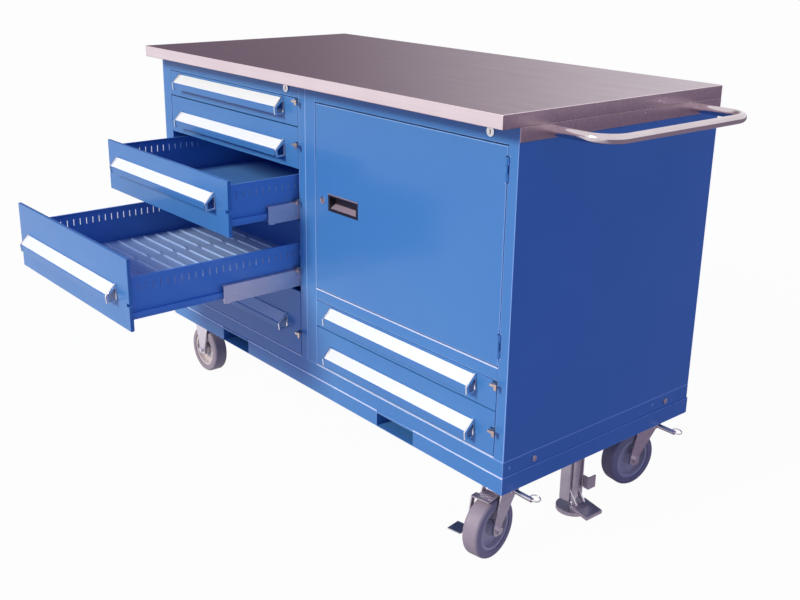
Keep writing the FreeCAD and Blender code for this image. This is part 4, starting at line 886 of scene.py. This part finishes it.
# %% [markdown]
# The slide carriages are zinc-plated channels with steel rollers. Their rivets are short rods
# in the CAD, and the tree for domed heads sets a head on each. Each latch is a plated lever. Its
# thumb tab is bent to the right, over the post beside the drawer front, so that the front passes
# it when the drawer slides out. Two short bars, a neck and a rounded tab, stand for that bend.

# %% Carriages, rails and latches
RIVETS = (7, 8, 9, 17, 18, 19)
LEVER_WIDTH = 8
TAB_LEFT = 4.5
TAB_RIGHT = 13
TAB_LOW = 7
TAB_HIGH = 2
TAB_THICK = 2
RIVET_RADIUS = 4.6
RIVET_PROUD = 0.2
TAB_PROUD = 0.2
TAB_RADIUS = 0.7
SMALL_RADIUS = 0.4
for drawer in DRAWERS:
    carriage = drawer.replace("drawer", "carriage")
    latch = drawer.replace("drawer", "latch")
    shells = solids_of(carriage)
    ends = [limits(shells[number]) for number in RIVETS]
    centres = [(low + high) / 2 for low, high in ends]
    thick = (ends[0][1].x - ends[0][0].x) / 2 / MM + RIVET_PROUD
    dressed(carriage, carriage, [slide_zinc], SMALL_RADIUS, shortest=SHORT_EDGE * MM)
    grown(carriage + "_rivets", dome_tree,
          {"Radius": RIVET_RADIUS * MM, "Flatten": Vector((thick / RIVET_RADIUS, 1, 1)),
           "Finish": zinc},
          carriage, centres)
    low, high = in_mm(latch)
    edge = low.x + LEVER_WIDTH
    depth = (low.y, low.y + TAB_THICK)
    neck = slab((low.x, edge + TAB_RIGHT), depth, (low.z, high.z))
    tab = slab((edge + TAB_LEFT, edge + TAB_RIGHT), (depth[0] - TAB_PROUD, depth[1] + TAB_PROUD),
               (low.z - TAB_LOW, high.z + TAB_HIGH))
    round_edges(tab, TAB_RADIUS)
    dressed(latch, latch, [lever_copper], extra=[(neck, 0), (tab, 0)])
dressed("drawer_rails", "cabinet", [zinc], SMALL_RADIUS, shortest=SHORT_EDGE * MM)
print("latches:", len(DRAWERS))

# %% [markdown]
# The door of the cupboard is a folded pan with a recessed black pull, a key lock and two
# hinges whose painted knuckles show on its right edge. Its rounded edges take the paler fold
# finish, a painted highlight. The pull has an upper lip and a scoop that leads the fingers in,
# both in a pale satin grey: on the lip it is a painted highlight on the rim, in the scoop a
# painted reflection in the lower slope. In each lock a dark brass bar shows the brass of the
# plug, darkened as painted shade in the keyway. Lip, scoop and keyway are single bars added to
# the CAD's solids, which is simpler than cutting into those.

# %% Door, pull and locks
DOOR_FINISHES = (0, 2, 0, 0)
DOOR_RADIUS = 1.8
DOOR_RADII = {1: PLAIN_RADIUS, 2: SMALL_RADIUS, 3: SMALL_RADIUS}
PULL_RADIUS = 0.8
PULL_LIP_OVER = 0.4
PULL_LIP_Y = (-0.6, 1.0)
PULL_LIP_DROP = 2.2
SCOOP_IN = 7
SCOOP_RISE = 10
SCOOP_Y = (3, -2)
KEYWAY_HALF = (1.6, 5.0)
KEYWAY_Y = (-0.3, 2.0)
dressed("door_panel", "door", [enamel, painted_fold_highlight, chrome], DOOR_RADIUS,
        shortest=SHORT_EDGE * MM, pick=lambda number: DOOR_FINISHES[number], radii=DOOR_RADII,
        painted_edge_finish=1)
low, high = in_mm("door_pull")
lip = slab((low.x - PULL_LIP_OVER, high.x + PULL_LIP_OVER),
           (low.y + PULL_LIP_Y[0], low.y + PULL_LIP_Y[1]),
           (high.z - PULL_LIP_DROP, high.z + PULL_LIP_OVER))
foot = low.z + SCOOP_IN
scoop = bar_along_x([(low.y + SCOOP_Y[0], foot), (high.y + SCOOP_Y[1], foot),
                     (high.y + SCOOP_Y[1], foot + SCOOP_RISE)],
                    low.x + SCOOP_IN, high.x - SCOOP_IN)
dressed("door_pull", "door", [black_pull, pull_painted_reflection], PULL_RADIUS,
        extra=[(lip, 1), (scoop, 1)])
dressed("door_hinges", "cabinet", [enamel], SMALL_RADIUS)
for lock in ("door_lock", "left_key_lock", "right_key_lock"):
    low, high = in_mm(lock)
    centre_x, centre_z = (low.x + high.x) / 2, low.z + (high.x - low.x) / 2
    # The keyway bar is brass darkened as painted shade in the slot.
    keyway = slab((centre_x - KEYWAY_HALF[0], centre_x + KEYWAY_HALF[0]),
                  (low.y + KEYWAY_Y[0], low.y + KEYWAY_Y[1]),
                  (centre_z - KEYWAY_HALF[1], centre_z + KEYWAY_HALF[1]))
    dressed(lock, lock, [chrome, keyway_brass_and_shade], SMALL_RADIUS, extra=[(keyway, 1)])

# %% [markdown]
# The grooved inserts of the second drawer from below are pressed plates. Their ribs could be
# grown as the slot lips are, but the CAD has them already, so they only need their paint.

# %% Grooved inserts
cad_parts["groove_trays"].material_slots[0].material = insert_coat

# %% [markdown]
# Casters: zinc-plated plates and forks, wheels with a grey rubber tread on a cast centre. The
# tread and the centre are two solids of one node, so one piece carries both finishes. The
# plungers of the swivel locks are turned parts, round already, and only take their plating. Two
# spots of weld show low on the right side, and the tree for domed heads makes them.

# %% Casters, brake and floor lock
WELD_AT = ((22, 262), (552, 264))
WELD_RADIUS = 4
WELD_SUNK = 2
WELD_FLAT = 0.3
for node in ("caster_plates", "rigid_forks", "floor_lock_frame", "bolts"):
    dressed(node, "cabinet", [zinc])
for node in ("front_swivel_fork", "rear_swivel_fork", "wheel_brake", "floor_lock_foot",
             "floor_lock_pedal", "floor_lock_release"):
    dressed(node, node, [zinc])
for node in ("front_swivel_lock", "rear_swivel_lock"):
    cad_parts[node].material_slots[0].material = zinc
for wheel in ("front_right_wheel", "rear_right_wheel", "front_left_wheel", "rear_left_wheel"):
    dressed(wheel, wheel, [tread_rubber, hub_cast], 0.0, pick=lambda number: number)
weld_spots = [place(SKIRT_FACE - WELD_SUNK, y, z) for y, z in WELD_AT]
# The weld spots take the paler fold finish, a painted highlight.
grown("weld_spots", dome_tree,
      {"Radius": WELD_RADIUS * MM, "Flatten": Vector((WELD_FLAT, 1, 1)), "Finish": painted_fold_highlight},
      "cabinet", weld_spots)
print("casters dressed")
